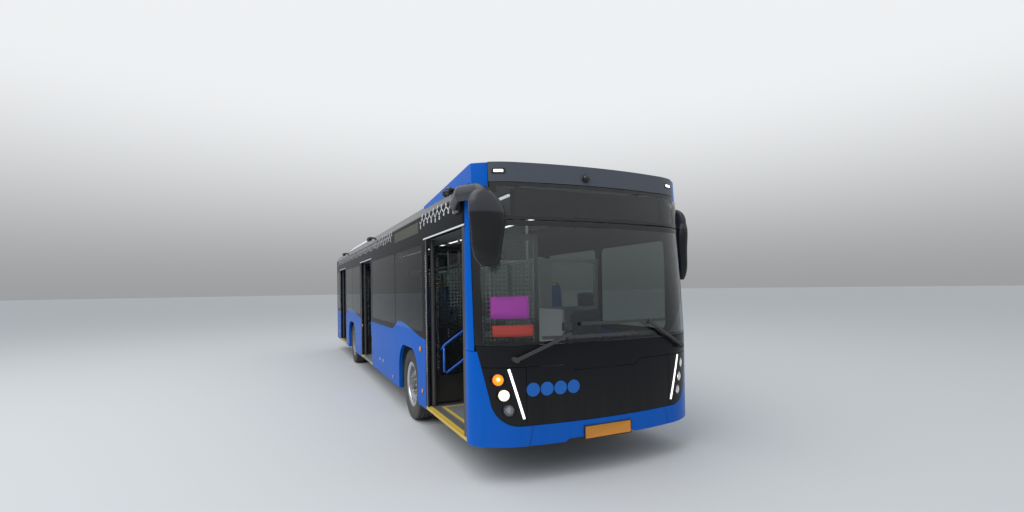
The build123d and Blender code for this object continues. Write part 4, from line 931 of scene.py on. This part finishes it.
for node, y, inward in door_edges:
    body = node + "_leaf"
    middle = y - inward * leaf_back
    y0, y1 = middle - leaf_half, middle + leaf_half
    shapes = [
        bar(leaf_x[0], pane_x[0], y0, y1, *leaf_z),
        bar(pane_x[1], leaf_x[1], y0, y1, *leaf_z),
        bar(*pane_x, y0, y1, leaf_z[0], pane_z[0]),
        bar(*pane_x, y0, y1, pane_z[1], leaf_z[1]),
        # a pressed field in the foot panel, on both faces
        bar(pane_x[0] + 0.03, pane_x[1] - 0.03, y0 - 0.0015, y0, 0.47, 0.67, 0.0007),
        bar(pane_x[0] + 0.03, pane_x[1] - 0.03, y1, y1 + 0.0015, 0.47, 0.67, 0.0007),
    ]
    # the pivot brackets below and above the leaf
    pin_y = y + inward * 0.042
    tab_y = sorted((middle, pin_y + inward * 0.018))
    for z0, z1, pin_z in ((leaf_z[0] - 0.008, leaf_z[0], leaf_z[0] - 0.018),
                          (leaf_z[1], leaf_z[1] + 0.008, leaf_z[1] + 0.024)):
        shapes.append(bar(pin_x - 0.022, pin_x + 0.022, *tab_y, z0, z1, 0.001))
        shapes.append(pipe([(pin_x, pin_y, (z0 + z1) / 2), (pin_x, pin_y, pin_z)], 0.008))
    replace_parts(piece(body + "_frame", shapes, leaf_paint, body, smooth=False), body)
    sheet = bar(pane_x[0] + 0.0005, pane_x[1] - 0.0005, middle - 0.004, middle + 0.004,
                pane_z[0] + 0.0005, pane_z[1] - 0.0005, 0.0005)
    piece(body + "_glass", [sheet], door_glass, body, smooth=False)
    print_y = middle + inward * 0.0046
    corners = [(x, print_y, z) for x, z in zip(pane_x + pane_x[::-1], np.repeat(pane_z, 2))]
    piece(body + "_dots", [(corners, [range(4)])], dot_print, body, smooth=False)
    for side, place in ((1, "_inner"), (-1, "_outer")):
        on_face = flat((leaf_x[0] + 0.013, middle + side * (leaf_half + 0.0004), 0.0), (1, 0, 0), (0, 1, 0))
        shapes = dots(58, 0.0245, (0, 1), 0.018, 0.0062, 0.4, 0.001, 1, -side, on_face)
        piece(body + place + "_edge_dots", shapes, dot_pale, body, smooth=False)
    face_y = middle + inward * leaf_half
    stand_y = face_y + inward * handle_stand
    loop = [(-1.085, face_y, 1.03), (-1.085, stand_y, 1.05), (-1.050, stand_y, 1.095),
            (-0.600, stand_y, 1.395), (-0.565, stand_y, 1.415), (-0.545, face_y, 1.425)]
    low_loop = [(-0.545, face_y, 1.075), (-0.565, stand_y, 1.065), (-0.600, stand_y, 1.045),
                (-1.030, stand_y, 0.758), (-1.062, stand_y, 0.775), (-1.062, stand_y, 1.075)]
    piece(body + "_handle", [pipe(rounded_route(route, 0.02), handle_radius) for route in (loop, low_loop)],
          handle_blue, body)
    brush = [bar(leaf_x[0] + 0.01, leaf_x[1] - 0.01, middle - 0.006, middle + 0.006, 0.388, leaf_z[0], 0.001),
             bar(leaf_x[1], leaf_x[1] + 0.004, middle - 0.010, middle + 0.010, leaf_z[0] + 0.01,
                 leaf_z[1] - 0.01, 0.001)]
    piece(body + "_rubber", brush, door_rubber, body, smooth=False)

# The doorways: black edge columns with a printed run of pale dots, a bright drip rail over each
# opening, the grey box of the door gear above, ribbed steel steps with yellow noses.


def gear_colour(at):
    """Grey for the gear boxes above the doors, black for the columns beside them."""
    return tint(fade(at.x, -1.24, -1.23), (0.010, 0.010, 0.011), (0.16, 0.165, 0.175))


dress(finish("door_gear", gear_colour, 0.32, cycles=300.0, depth=0.0002), "door_headers")
dress(finish("post_metal", (0.05, 0.05, 0.052), 0.3, cycles=260.0, depth=0.0002),
      *(node + "_post" for node, y, inward in door_edges))
rail_bright = finish("rail_bright", (0.78, 0.79, 0.80), 0.30, dirt=0.1, cycles=200.0, depth=0.0001,
                     Metallic=0.2)
step_yellow = finish("step_yellow", (0.62, 0.42, 0.035), 0.45, dirt=0.25, cycles=300.0, depth=0.0006)
step_metal = finish("step_metal", (0.22, 0.22, 0.22), 0.38, dirt=0.2, cycles=300.0, depth=0.0005,
                    Metallic=0.8)
rails, noses, ribs, pale_dots = [], [], [], []
ramp_ends = [corner[1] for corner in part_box("wheelchair_ramp")]
for door, y0 in door_fronts:
    y1 = y0 + door_width
    rails.append(bar(-1.283, -1.2755, y0 - 0.02, y1 + 0.02, door_top_z + 0.004, door_top_z + 0.020, 0.002))
    spans = [(y0 + 0.006, y1 - 0.006)]
    if door == "middle_door":
        spans = [(y0 + 0.006, ramp_ends[0] - 0.010), (ramp_ends[1] + 0.010, y1 - 0.006)]
    for start, end in spans:
        noses.append(bar(-1.2705, -1.2205, start, end, floor_z + 0.0002, floor_z + 0.0040, 0.001))
        noses.append(bar(-1.2720, -1.2672, start, end, floor_z - 0.032, floor_z + 0.0040, 0.001))
        for k in range(7):
            x = -1.214 + 0.011 * k
            ribs.append(bar(x, x + 0.005, max(start, y0 + 0.09), min(end, y1 - 0.09), floor_z + 0.0001,
                            floor_z + 0.0022, 0.0005))
    on_column = flat((-1.2716, y1 - 0.038, 0.0), (0, 1, 0), (-1, 0, 0))
    pale_dots += dots(46, 0.031, (-1, 0, 1), 0.023, 0.0100, 0.35, 0.002, -1, 1, on_column)
for name, shapes, made, slot in (
        ("drip_rails", rails, rail_bright, "post_metal"), ("step_noses", noses, step_yellow, "floor_vinyl"),
        ("step_ribs", ribs, step_metal, "ramp_metal"), ("column_dots", pale_dots, dot_pale, "door_frame")):
    piece(name, shapes, made, smooth=False)

# Yellow hatching on the platform inside the front door, where nobody may stand while it moves: a
# painted frame with slanted bands inside it.
hatch_x = (-1.120, -0.380)
hatch_y = (-5.560, -4.470)
hatch_band = 0.040
hatch_pitch = 0.150
hatch_width = 0.05


def stripe(x0, x1, y0, y1, rise=0.0):
    """A flat sheet on the floor, its far end shifted along by rise."""
    corners = [(x0, y0), (x1, y0 + rise), (x1, y1 + rise), (x0, y1)]
    return [(x, y, floor_z + 0.0008) for x, y in corners], [range(4)]


inner_x, inner_y = ((low + hatch_band, high - hatch_band) for low, high in (hatch_x, hatch_y))
marks = [stripe(*hatch_x, hatch_y[0], inner_y[0]), stripe(*hatch_x, inner_y[1], hatch_y[1]),
         stripe(hatch_x[0], inner_x[0], *inner_y), stripe(inner_x[1], hatch_x[1], *inner_y)]
run = inner_x[1] - inner_x[0]
start = inner_y[0] + 0.03
while start + run + hatch_width < inner_y[1]:
    marks.append(stripe(*inner_x, start, start + hatch_width, run))
    start += hatch_pitch
piece("floor_hatching", marks, step_yellow, smooth=False)

# Small outside fittings: two lit marker lamps and a camera dome on the mask, twin camera domes along
# the kerb side's roof edge, amber side lamps and reflectors, door locks and the seams of the shell.
marker_half = (0.042, 0.012)
housings, lights = [], []
for marker_x in (-1.000, 1.000):
    def at_marker(a, b, lift):
        """Lays (a, b) about the marker on the raked front shell."""
        return on_front(marker_x + a, 2.845 + b, lift)

    levels = [(0, -0.004), (0, 0.003), (0.003, 0.005), (0.014, 0.005), (0.018, 0.002)]
    housings.append(plaque(marker_half[0] + 0.022, marker_half[1] + 0.016, 0.020, levels, at_marker))
    lights.append(plaque(*marker_half, 0.010, [(0, 0.0), (0, 0.004), (0.003, 0.006)], at_marker))
piece("marker_housings", housings, bezel_black)
piece("marker_lenses", lights, glow("marker_white", (1.0, 0.97, 0.90), 2.2))


def dome(centre, axis, radius):
    """A camera: a short collar and a round dome over it."""
    collar = [(-0.010, radius * 1.25), (0.010, radius * 1.25), (0.014, radius * 1.15), (0.014, radius)]
    turns = np.linspace(0, math.pi / 2, 10)
    rise = [(0.014 + radius * 0.9 * math.sin(a), radius * math.cos(a)) for a in turns]
    return spun(collar + rise, centre, axis, 28)


cameras = [dome(on_front(-0.130, 2.812), (0.0, -1.0, rake), 0.034)]
arms = []
for y in (-5.470, -0.610, 3.600):
    cameras += [dome((-1.330, y + dy, 2.715), (-0.55, dy * 6, -0.75), 0.032) for dy in (-0.055, 0.055)]
    arms.append(pipe([(-1.225, y, 2.735), (-1.290, y, 2.745), (-1.330, y, 2.735)], 0.016))
    arms.append(pipe([(-1.330, y - 0.075, 2.730), (-1.330, y + 0.075, 2.730)], 0.022))
piece("camera_domes", cameras, finish("dome_black", (0.010, 0.010, 0.011), 0.08, cycles=60.0, depth=0.00004))
piece("camera_arms", arms, dark_plastic, sharp=0.7)

# distance behind the nose, height, radius and kind of each round fitting on the flanks, both sides
flank_fittings = (
    (2.09, 1.030, 0.034, "amber"), (2.00, 0.530, 0.026, "amber"), (3.78, 0.430, 0.026, "amber"),
    (6.95, 1.020, 0.026, "amber"), (9.60, 0.430, 0.026, "amber"), (12.13, 0.430, 0.026, "red"),
    (4.65, 0.56, 0.026, "lock"), (4.95, 0.56, 0.026, "lock"), (11.70, 0.56, 0.026, "lock"),
)
flanks = {kind: [] for kind in ("collar", "amber", "red", "lock")}
for back, z, radius, kind in flank_fittings:
    for side in both_sides:
        profile = [(0.003, radius), (0.008, radius * 0.92), (0.012, radius * 0.6), (0.013, 0.0)]
        collar = [(-0.004, radius + 0.006), (0.003, radius + 0.006), (0.005, radius + 0.003), (0.005, radius)]
        if kind == "lock":
            profile = [(-0.003, 0.026), (0.002, 0.026), (0.004, 0.022), (0.004, 0.016), (0.001, 0.015),
                       (0.001, 0.008), (0.003, 0.007), (0.003, 0.0)]
        place = ((side * side_x, back - 6.2, z), (side, 0, 0), 32)
        flanks[kind].append(spun(profile, *place))
        if kind != "lock":
            flanks["collar"].append(spun(collar, *place))
lens = dict(rough=0.14, dirt=0.1, cycles=900.0, depth=0.0003, Coat_Weight=0.5)
piece("flank_collars", flanks["collar"], bezel_black)
piece("flank_amber", flanks["amber"], finish("lens_amber", (0.75, 0.20, 0.015), **lens))
piece("flank_red", flanks["red"], finish("lens_red", (0.45, 0.015, 0.010), **lens))
piece("flank_locks", flanks["lock"], bright_metal)

# Panel joints: narrow dark lines where one skirt panel meets the next, from the skirt's foot, or the
# wheel arch's top, up to the waist.
seam_half = 0.0018
arches = (("front", 0.557, 0.992), ("rear", 0.610, 1.000))  # half width and top of each wheel arch
seam_lines = []
for side, places in ((1, (2.15, 3.50, 4.95, 6.45, 8.00, 9.52, 11.02)),
                     (-1, (2.15, 3.50, 4.40, 5.05, 7.90, 9.52))):
    for back in places:
        y = back - 6.2
        foot, waist = 0.345, 1.235
        for axle, half, top in arches:
            if abs(y - axle_places[axle]) < half + 0.02:
                foot = top + 0.01
        corners = [(side * (side_x + 0.0006), y + share * seam_half, z)
                   for share, z in ((-1, foot), (1, foot), (1, waist), (-1, waist))]
        seam_lines.append((corners[::side], [range(4)]))
piece("skirt_joints", seam_lines, finish("seam_dark", (0.006, 0.006, 0.007), 0.5, cycles=400.0, depth=0.0002),
      smooth=False)

# The driver's seat: three foam cushions in woven cloth, sewn in channels and pulled in along their
# sides, each blown up from a slightly smaller shape and lying on the seat's pan or back board.
cushions = {
    # lowest and highest corners, axis and end of the side that rests on something, and each channel as
    # an axis and a step along it from the middle
    "seat_cushion": ((0.524, -5.116, 0.8006), (0.996, -4.660, 0.8994), 2, 0,
                     ((0, -0.115), (0, 0.115), (1, 0.02))),
    "back_cushion": ((0.529, -4.7465, 0.9080), (0.991, -4.6458, 1.4960), 1, 1,
                     ((0, -0.120), (0, 0.120), (2, -0.12), (2, 0.08))),
    "head_cushion": ((0.634, -4.7365, 1.5040), (0.886, -4.6540, 1.6960), 1, 1, ()),
}
cushion_swell = 0.010
voxel = 0.006


def weave(at, threads, depth):
    """A plain weave: one sine across and one along, over and under each other."""
    turn = threads * math.pi
    over = calculate("SINE", at.x * turn) * calculate("SINE", (at.y + at.z) * turn)
    return {"Height": over * depth, "Over": over}


weave_group = group("weave", weave, Threads_a_metre=800.0, Depth=0.0003)


def woven(at, output):
    """An output of the weave group, for 520 threads a metre."""
    node = add_node(at.point.id_data, "Group", {"Threads a metre": 520.0}, node_tree=weave_group)
    return Value(node.outputs[output])


def cloth_colour(at):
    """Dark blue-grey cloth with lighter threads and small woven flecks."""
    base = tint(fade(woven(at, "Over"), -0.6, 0.6), (0.018, 0.022, 0.036), (0.045, 0.055, 0.085))
    return tint(fade(noise(at.point, 95.0, 1.0), 0.64, 0.68), base, (0.05, 0.11, 0.30))


seat_cloth = finish("seat_cloth", cloth_colour, 0.92, cycles=900.0, depth=0.0003,
                    relief=lambda at: woven(at, "Height"), Sheen_Weight=0.25, Sheen_Roughness=0.5,
                    Specular_IOR_Level=0.2)


def crowned(low, high, up, end, columns=72, rows=48, power=0.32):
    """A closed crowned pad: a ball whose sines and cosines are raised to a small power, which makes it a
    box with round edges; its sides pull in towards their middles and its resting side is pressed flat."""
    middle, half = (low + high) / 2, (high - low) / 2
    u = np.linspace(0, 2 * math.pi, columns, endpoint=False)[None, :]
    v = np.linspace(-math.pi / 2, math.pi / 2, rows + 2)[1:-1, None]

    def bent(value):
        return np.sign(value) * np.abs(value) ** power

    first, second = (axis for axis in range(3) if axis != up)
    a = bent(np.cos(v)) * bent(np.cos(u))
    b = bent(np.cos(v)) * bent(np.sin(u))
    c = bent(np.sin(v)) * np.ones_like(u)
    crown = 0.72 + 0.28 * (1 - 0.5 * (a ** 2 + b ** 2))
    share = np.zeros((rows, columns, 3))
    share[..., first] = a * (1 - 0.030 * (1 - b ** 2))
    share[..., second] = b * (1 - 0.030 * (1 - a ** 2))
    share[..., up] = np.where(c * (1 if end == 0 else -1) > 0, c * crown, c)
    poles = np.tile(middle, (2, 1))
    poles[0, up] -= half[up] * (1.0 if end == 0 else 0.98)
    poles[1, up] += half[up] * (0.98 if end == 0 else 1.0)
    faces = grid(rows, columns, round_columns=True).tolist()
    pole, last = rows * columns, (rows - 1) * columns
    faces += [[pole, (i + 1) % columns, i] for i in range(columns)]
    faces += [[pole + 1, last + i, last + (i + 1) % columns] for i in range(columns)]
    if up == 1:
        faces = [face[::-1] for face in faces]
    return np.vstack([(middle + share * half).reshape(-1, 3), poles]), faces


def read_points(mesh):
    """The mesh's points as an array."""
    values = np.empty(len(mesh.vertices) * 3)
    mesh.vertices.foreach_get("co", values)
    return values.reshape(-1, 3)


def write_points(mesh, points):
    """Puts the points back into the mesh."""
    mesh.vertices.foreach_set("co", points.ravel())
    mesh.update()


def baked(thing):
    """The thing's mesh as its modifiers leave it."""
    return bpy.data.meshes.new_from_object(thing.evaluated_get(bpy.context.evaluated_depsgraph_get()))


def blown_up(thing, most):
    """Even voxels, then cloth with pressure inside for twenty frames, each point moved by at most most."""
    even = thing.modifiers.new("even", "REMESH")
    even.mode = "VOXEL"
    even.voxel_size = voxel
    even.use_smooth_shade = True
    mesh = baked(thing)
    thing.modifiers.clear()
    thing.data = mesh
    before = read_points(mesh)
    cloth = thing.modifiers.new("filling", "CLOTH")
    cloth.settings.use_pressure = True
    cloth.settings.uniform_pressure_force = 4.0
    cloth.settings.effector_weights.gravity = 0.0
    cloth.settings.quality = 5
    cloth.point_cache.frame_start = 1
    cloth.point_cache.frame_end = 20
    for frame_number in range(1, 21):
        scene.frame_set(frame_number)
    move = read_points(baked(thing)) - before
    thing.modifiers.clear()
    scene.frame_set(1)
    size = np.linalg.norm(move, axis=1)[:, None]
    write_points(mesh, before + move * np.minimum(1.0, most / np.maximum(size, 1e-9)))


for name, (low, high, axis, end, channels) in cushions.items():
    low, high = np.array(low), np.array(high)
    inner = [low + cushion_swell * 0.8, high - cushion_swell * 0.8]
    inner[end][axis] = (low, high)[end][axis]
    pad = piece(name, [crowned(*inner, axis, end)], seat_cloth)
    blown_up(pad, cushion_swell)
    pad.data.materials.clear()
    pad.data.materials.append(seat_cloth)
    points = read_points(pad.data)
    middle = (low + high) / 2
    free = (points[:, axis] - low[axis]) / (high[axis] - low[axis])
    if end == 1:
        free = 1 - free
    sink = np.zeros(len(points))
    for across, place in channels:
        sink += 0.0075 * np.exp(-((points[:, across] - middle[across] - place) / 0.0065) ** 2)
    sink = np.minimum(sink, 0.009) * np.clip((free - 0.5) * 4, 0, 1)
    points[:, axis] += sink if end == 1 else -sink
    edge_seam = np.exp(-((free - 0.52) / 0.035) ** 2) * 0.0022
    for i in (i for i in range(3) if i != axis):
        away = (points[:, i] - middle[i]) / ((high[i] - low[i]) / 2)
        points[:, i] -= np.sign(away) * np.clip((np.abs(away) - 0.9) * 12, 0, 1) * edge_seam
    write_points(pad.data, np.clip(points, low, high))
    pad.data.shade_smooth()
    finer = pad.modifiers.new("finer", "SUBSURF")
    finer.levels = finer.render_levels = 1
    if name == "seat_cushion":
        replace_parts(pad, "driver_seat_cushions")

# Inside the saloon: steel collars where the poles meet the floor and the rails, light strips under the
# ceiling, a grab handle on each seat and the switches and screens round the driver.
pole_places = ((-0.29, 2.25), (0.29, 2.25), (-0.29, 3.48), (0.29, 3.48), (0.29, 4.72), (-0.29, 5.48),
               (0.29, 5.90), (0.29, 7.05), (-0.29, 7.56), (0.29, 8.05), (-0.29, 9.62), (0.29, 9.70),
               (0.29, 11.30))
rail_height = 2.130
collar_profile = [(-0.024, 0.0178), (-0.022, 0.0225), (-0.016, 0.0245), (0.016, 0.0245), (0.022, 0.0225),
                  (0.024, 0.0178)]
foot_profile = [(0.014, 0.0178), (0.012, 0.024), (0.009, 0.034), (0.005, 0.0395), (0.0006, 0.040)]
collars = [spun(collar_profile, (x, back - 6.2, rail_height), (0, 0, 1), 24) for x, back in pole_places]
feet = [spun(foot_profile, (x, back - 6.2, floor_z), (0, 0, 1), 24) for x, back in pole_places if back < 10.4]
collar_grey = finish("collar_grey", (0.20, 0.205, 0.21), 0.4, cycles=400.0, depth=0.0002)
piece("pole_collars", collars + feet, collar_grey)

strip_x = 0.560
strip_half = 0.045
strip_z = (2.775, 2.790)
strips, housings = [], []
for side in both_sides:
    x0, x1 = side * strip_x - strip_half, side * strip_x + strip_half
    for y0, y1 in ((-5.30, -3.30), (-3.10, -1.10), (-0.90, 1.10), (1.30, 3.30), (3.50, 5.50)):
        strips.append(bar(x0 + 0.010, x1 - 0.010, y0 + 0.012, y1 - 0.012, strip_z[0] - 0.0030,
                          strip_z[0] - 0.0002, 0.001))
        housings.append(bar(x0, x1, y0, y1, *strip_z, 0.002))
piece("ceiling_lights", strips, glow("ceiling_light", (0.92, 0.96, 1.0), 1.3), smooth=False)
piece("ceiling_light_housings", housings, collar_grey, smooth=False)

# x of the seat's middle, distance of its back behind the nose, height of its pan, way it faces
seat_places = [(x, d, 0.775, 1) for x in (0.98, 0.53) for d in (4.30, 5.10, 10.25, 11.00)]
seat_places += [(-x, d, 0.775, 1) for x in (0.98, 0.53) for d in (4.35, 5.15)]
seat_places += [(side * 0.91, d, 1.270, face) for side in both_sides
                for d, face in ((2.74, 1), (2.88, -1), (8.71, 1), (8.85, -1))]
grabs = []
for x, back, pan_z, facing in seat_places:
    y = back - 6.2 + 0.052 * facing
    top = pan_z + 0.523
    route = [(x - 0.185, y, top - 0.012), (x - 0.185, y, top + 0.045), (x + 0.185, y, top + 0.045),
             (x + 0.185, y, top - 0.012)]
    grabs.append(pipe(rounded_route(route, 0.035, 6), 0.0105, 10))
piece("seat_grab_handles", grabs, finish("grab_yellow", (0.60, 0.40, 0.03), 0.35, cycles=500.0, depth=0.0002))

# The driver's place: two dark screens and a row of rocker switches on the instrument pod, and a slim
# stand for the ticket reader behind the windscreen.
switch_black = finish("switch_black", (0.02, 0.02, 0.021), 0.4, cycles=600.0, depth=0.0002)
screen_levels = [(0, 0.0), (0, 0.003), (0.003, 0.0045), (0.006, 0.0035)]
screens = [plaque(0.058, 0.040, 0.008, screen_levels, flat((x, -5.6350, 1.200), (-1, 0, 0), (0, 1, 0)))
           for x in (0.690, 0.830)]
switches = [bar(x, x + 0.030, -5.6345, -5.6265, 1.118, 1.140, 0.002) for x in 0.600 + 0.045 * np.arange(8)]
piece("pod_screens", screens, finish("screen_dark", (0.010, 0.012, 0.014), 0.08, cycles=50.0, depth=0.00002))
piece("pod_switches", switches, switch_black, smooth=False)
stand_x = -0.385
stand = [pipe([(stand_x, -6.125, 1.150), (stand_x, -6.112, 1.360)], 0.014),
         bar(stand_x - 0.045, stand_x + 0.045, -6.135, -6.095, 1.355, 1.430, 0.006)]
piece("screen_stand", stand, switch_black, sharp=0.7)

# The tail: a column of four round lamps on each side, set flush in the blue rear wall, red, amber, red
# and clear, with red reflectors and a blank plate field let into the bumper below.
rear_y = 6.200
tail_x = 1.130
tail_low = 0.990
tail_pitch = 0.170
tail_radius = 0.0545
tail_colours = {"red": (0.50, 0.010, 0.008), "amber": (0.80, 0.22, 0.015), "clear": (0.60, 0.61, 0.62)}


def prisms(at):
    """Fine rings pressed into each lens, 3 mm apart: a sine of the distance from its middle, which
    repeats up the column at every pitch."""
    across = calculate("ABSOLUTE", at.x) - tail_x
    reach = hypotenuse(across, calculate("PINGPONG", at.z - tail_low, tail_pitch / 2))
    return calculate("SINE", reach * 2094.0) * 0.0003


tail_shapes = {kind: [] for kind in tail_colours}
tail_rims = []
rim_profile = [(-0.029, tail_radius), (-0.0012, tail_radius), (-0.0004, tail_radius - 0.0015),
               (-0.0004, tail_radius - 0.006), (-0.006, tail_radius - 0.008), (-0.029, tail_radius - 0.008)]
lens_profile = [(-0.008, tail_radius - 0.0085), (-0.0035, tail_radius - 0.010), (-0.0015, tail_radius * 0.6),
                (-0.0010, tail_radius * 0.25), (-0.0008, 0.0)]
for z, kind in ((1.500, "red"), (1.330, "amber"), (1.160, "red"), (0.990, "clear")):
    for side in both_sides:
        place = (side * tail_x, rear_y, z)
        tail_rims.append(spun(rim_profile, place, (0, 1, 0), 40))
        tail_shapes[kind].append(spun(lens_profile, place, (0, 1, 0), 40))
piece("tail_rims", tail_rims, bezel_black)
for kind, colour in tail_colours.items():
    made = finish("tail_" + kind, colour, 0.16, dirt=0.1, cycles=300.0, depth=0.0001, relief=prisms)
    piece("tail_lenses_" + kind, tail_shapes[kind], made)


def box_mask(across, up, x0, x1, z0, z1):
    """1 inside a rectangle over two coordinates, 0 outside it."""
    mask = fade(across, x0 - 0.0006, x0 + 0.0006) * (1.0 - fade(across, x1 - 0.0006, x1 + 0.0006))
    mask = mask * fade(up, z0 - 0.0006, z0 + 0.0006)
    return mask * (1.0 - fade(up, z1 - 0.0006, z1 + 0.0006))


def tail_colour(at):
    """Black bumper with a red reflector on each side and a blank yellow plate field in the middle."""
    side = calculate("ABSOLUTE", at.x)
    at_back = fade(at.y, rear_y - 0.012, rear_y - 0.010)
    red = box_mask(side, at.z, 0.930, 1.080, 0.470, 0.520) * at_back
    plate = box_mask(side, at.z, -1.0, 0.260, 0.420, 0.532) * at_back
    return tint(plate, tint(red, black, (0.42, 0.012, 0.008)), (0.70, 0.33, 0.03))


def tail_relief(at):
    """A sunk line round the plate field, and square prisms over the reflectors."""
    side = calculate("ABSOLUTE", at.x)
    line = (box_mask(side, at.z, -1.0, 0.268, 0.412, 0.540) - box_mask(side, at.z, -1.0, 0.262, 0.418, 0.534))
    cells = calculate("SINE", at.x * 1600.0) * calculate("SINE", at.z * 1600.0)
    return cells * box_mask(side, at.z, 0.930, 1.080, 0.470, 0.520) * 0.0003 - line * 0.002


dress(finish("tail_bumper", tail_colour, 0.30, dirt=0.4, cycles=300.0, depth=0.0002, relief=tail_relief,
             Specular_IOR_Level=0.3), "rear_bumper")

# The roof cooler: under each of its six round wells turns a five-bladed fan behind a guard of steel
# wire rings on spokes, screwed to the rim of the well.
fan_x = 0.400
fan_middle_y = 4.525
fan_pitch = 0.780
fan_radius = 0.188
fan_hub = 0.062
cooler_top = 3.060
guard_z = cooler_top - 0.0045
guard_wire = 0.0022
guard_rings = (0.078, 0.100, 0.122, 0.144, 0.166, 0.187)


def wire_ring(centre, reach, radius, around=48, sides=6):
    """A torus lying flat: a small circle of the wire's radius carried round a circle of the ring's."""
    a = np.linspace(0, 2 * math.pi, around, endpoint=False)[:, None]
    b = np.linspace(0, 2 * math.pi, sides, endpoint=False)[None, :]
    r = reach + radius * np.cos(b)
    z = guard_z + radius * np.sin(b) + 0 * a
    points = np.stack([centre[0] + r * np.cos(a), centre[1] + r * np.sin(a), z], axis=-1)
    return points, grid(around, sides, round_rows=True, round_columns=True)


def blade(centre, turn, steps=8):
    """One fan blade: its chord swings back and its pitch flattens from the hub outwards."""
    r = np.linspace(fan_hub + 0.001, fan_radius - 0.012, steps)[:, None]
    share = (r - fan_hub) / (fan_radius - fan_hub)
    chord = np.linspace(-0.5, 0.5, 7)[None, :]
    angle = turn + 0.5 * share + chord * (0.95 - 0.35 * share) * 0.9
    z = cooler_top - 0.020 - chord * (0.020 - 0.010 * share) + 0.003 * (1 - 4 * chord ** 2)
    points = np.stack([centre[0] + r * np.cos(angle), centre[1] + r * np.sin(angle), z + 0 * r], axis=-1)
    return points, grid(steps, 7)


rings, blades = [], []
for side in both_sides:
    for row in (-1, 0, 1):
        x, y = side * fan_x, fan_middle_y + row * fan_pitch
        rings += [wire_ring((x, y), reach, guard_wire) for reach in guard_rings]
        for a in (k * math.pi / 2 + math.pi / 4 for k in range(4)):
            rings.append(pipe([(x + reach * math.cos(a), y + reach * math.sin(a), guard_z)
                               for reach in (0.058, 0.189)], guard_wire, 6))
        blades += [blade((x, y), k * 2 * math.pi / 5 + row) for k in range(5)]
guard_steel = finish("guard_steel", (0.30, 0.31, 0.32), 0.35, cycles=300.0, depth=0.0001, Metallic=0.7)
piece("cooler_guards", rings, guard_steel)
piece("cooler_fans", blades, finish("fan_grey", (0.045, 0.046, 0.048), 0.45, cycles=300.0, depth=0.0002),
      depth=0.0015)

# Bonded joints on the roof skin and round its two vents: a bead of dark sealant, slightly proud of
# the crown that it lies on.
roof_top = 2.860


def roof_skin(x):
    """The height of the roof's crown at x: the arc through its middle and its two shoulders."""
    shoulder, rise = 1.050, 0.038
    reach = (shoulder ** 2 + rise ** 2) / (2 * rise)
    return roof_top - reach + np.sqrt(reach ** 2 - x ** 2)


def bead(x, y, radius):
    """A bead of sealant along x and y on the roof."""
    return pipe(np.stack([x, y, roof_skin(x) + 0.0005], axis=1), radius, 8)


x = np.linspace(-1.03, 1.03, 41)
beads = [bead(x, np.full_like(x, y), 0.0035) for y in (-3.75, -1.30, 1.15)]
outline = rounded(0.333, 0.433, 0.030)
outline = np.vstack([outline, outline[:1]])
beads += [bead(outline[:, 0], back - 6.2 + outline[:, 1], 0.004) for back in (3.70, 7.60)]
piece("roof_sealant", beads, finish("sealant", (0.03, 0.03, 0.032), 0.7, cycles=500.0, depth=0.0006))
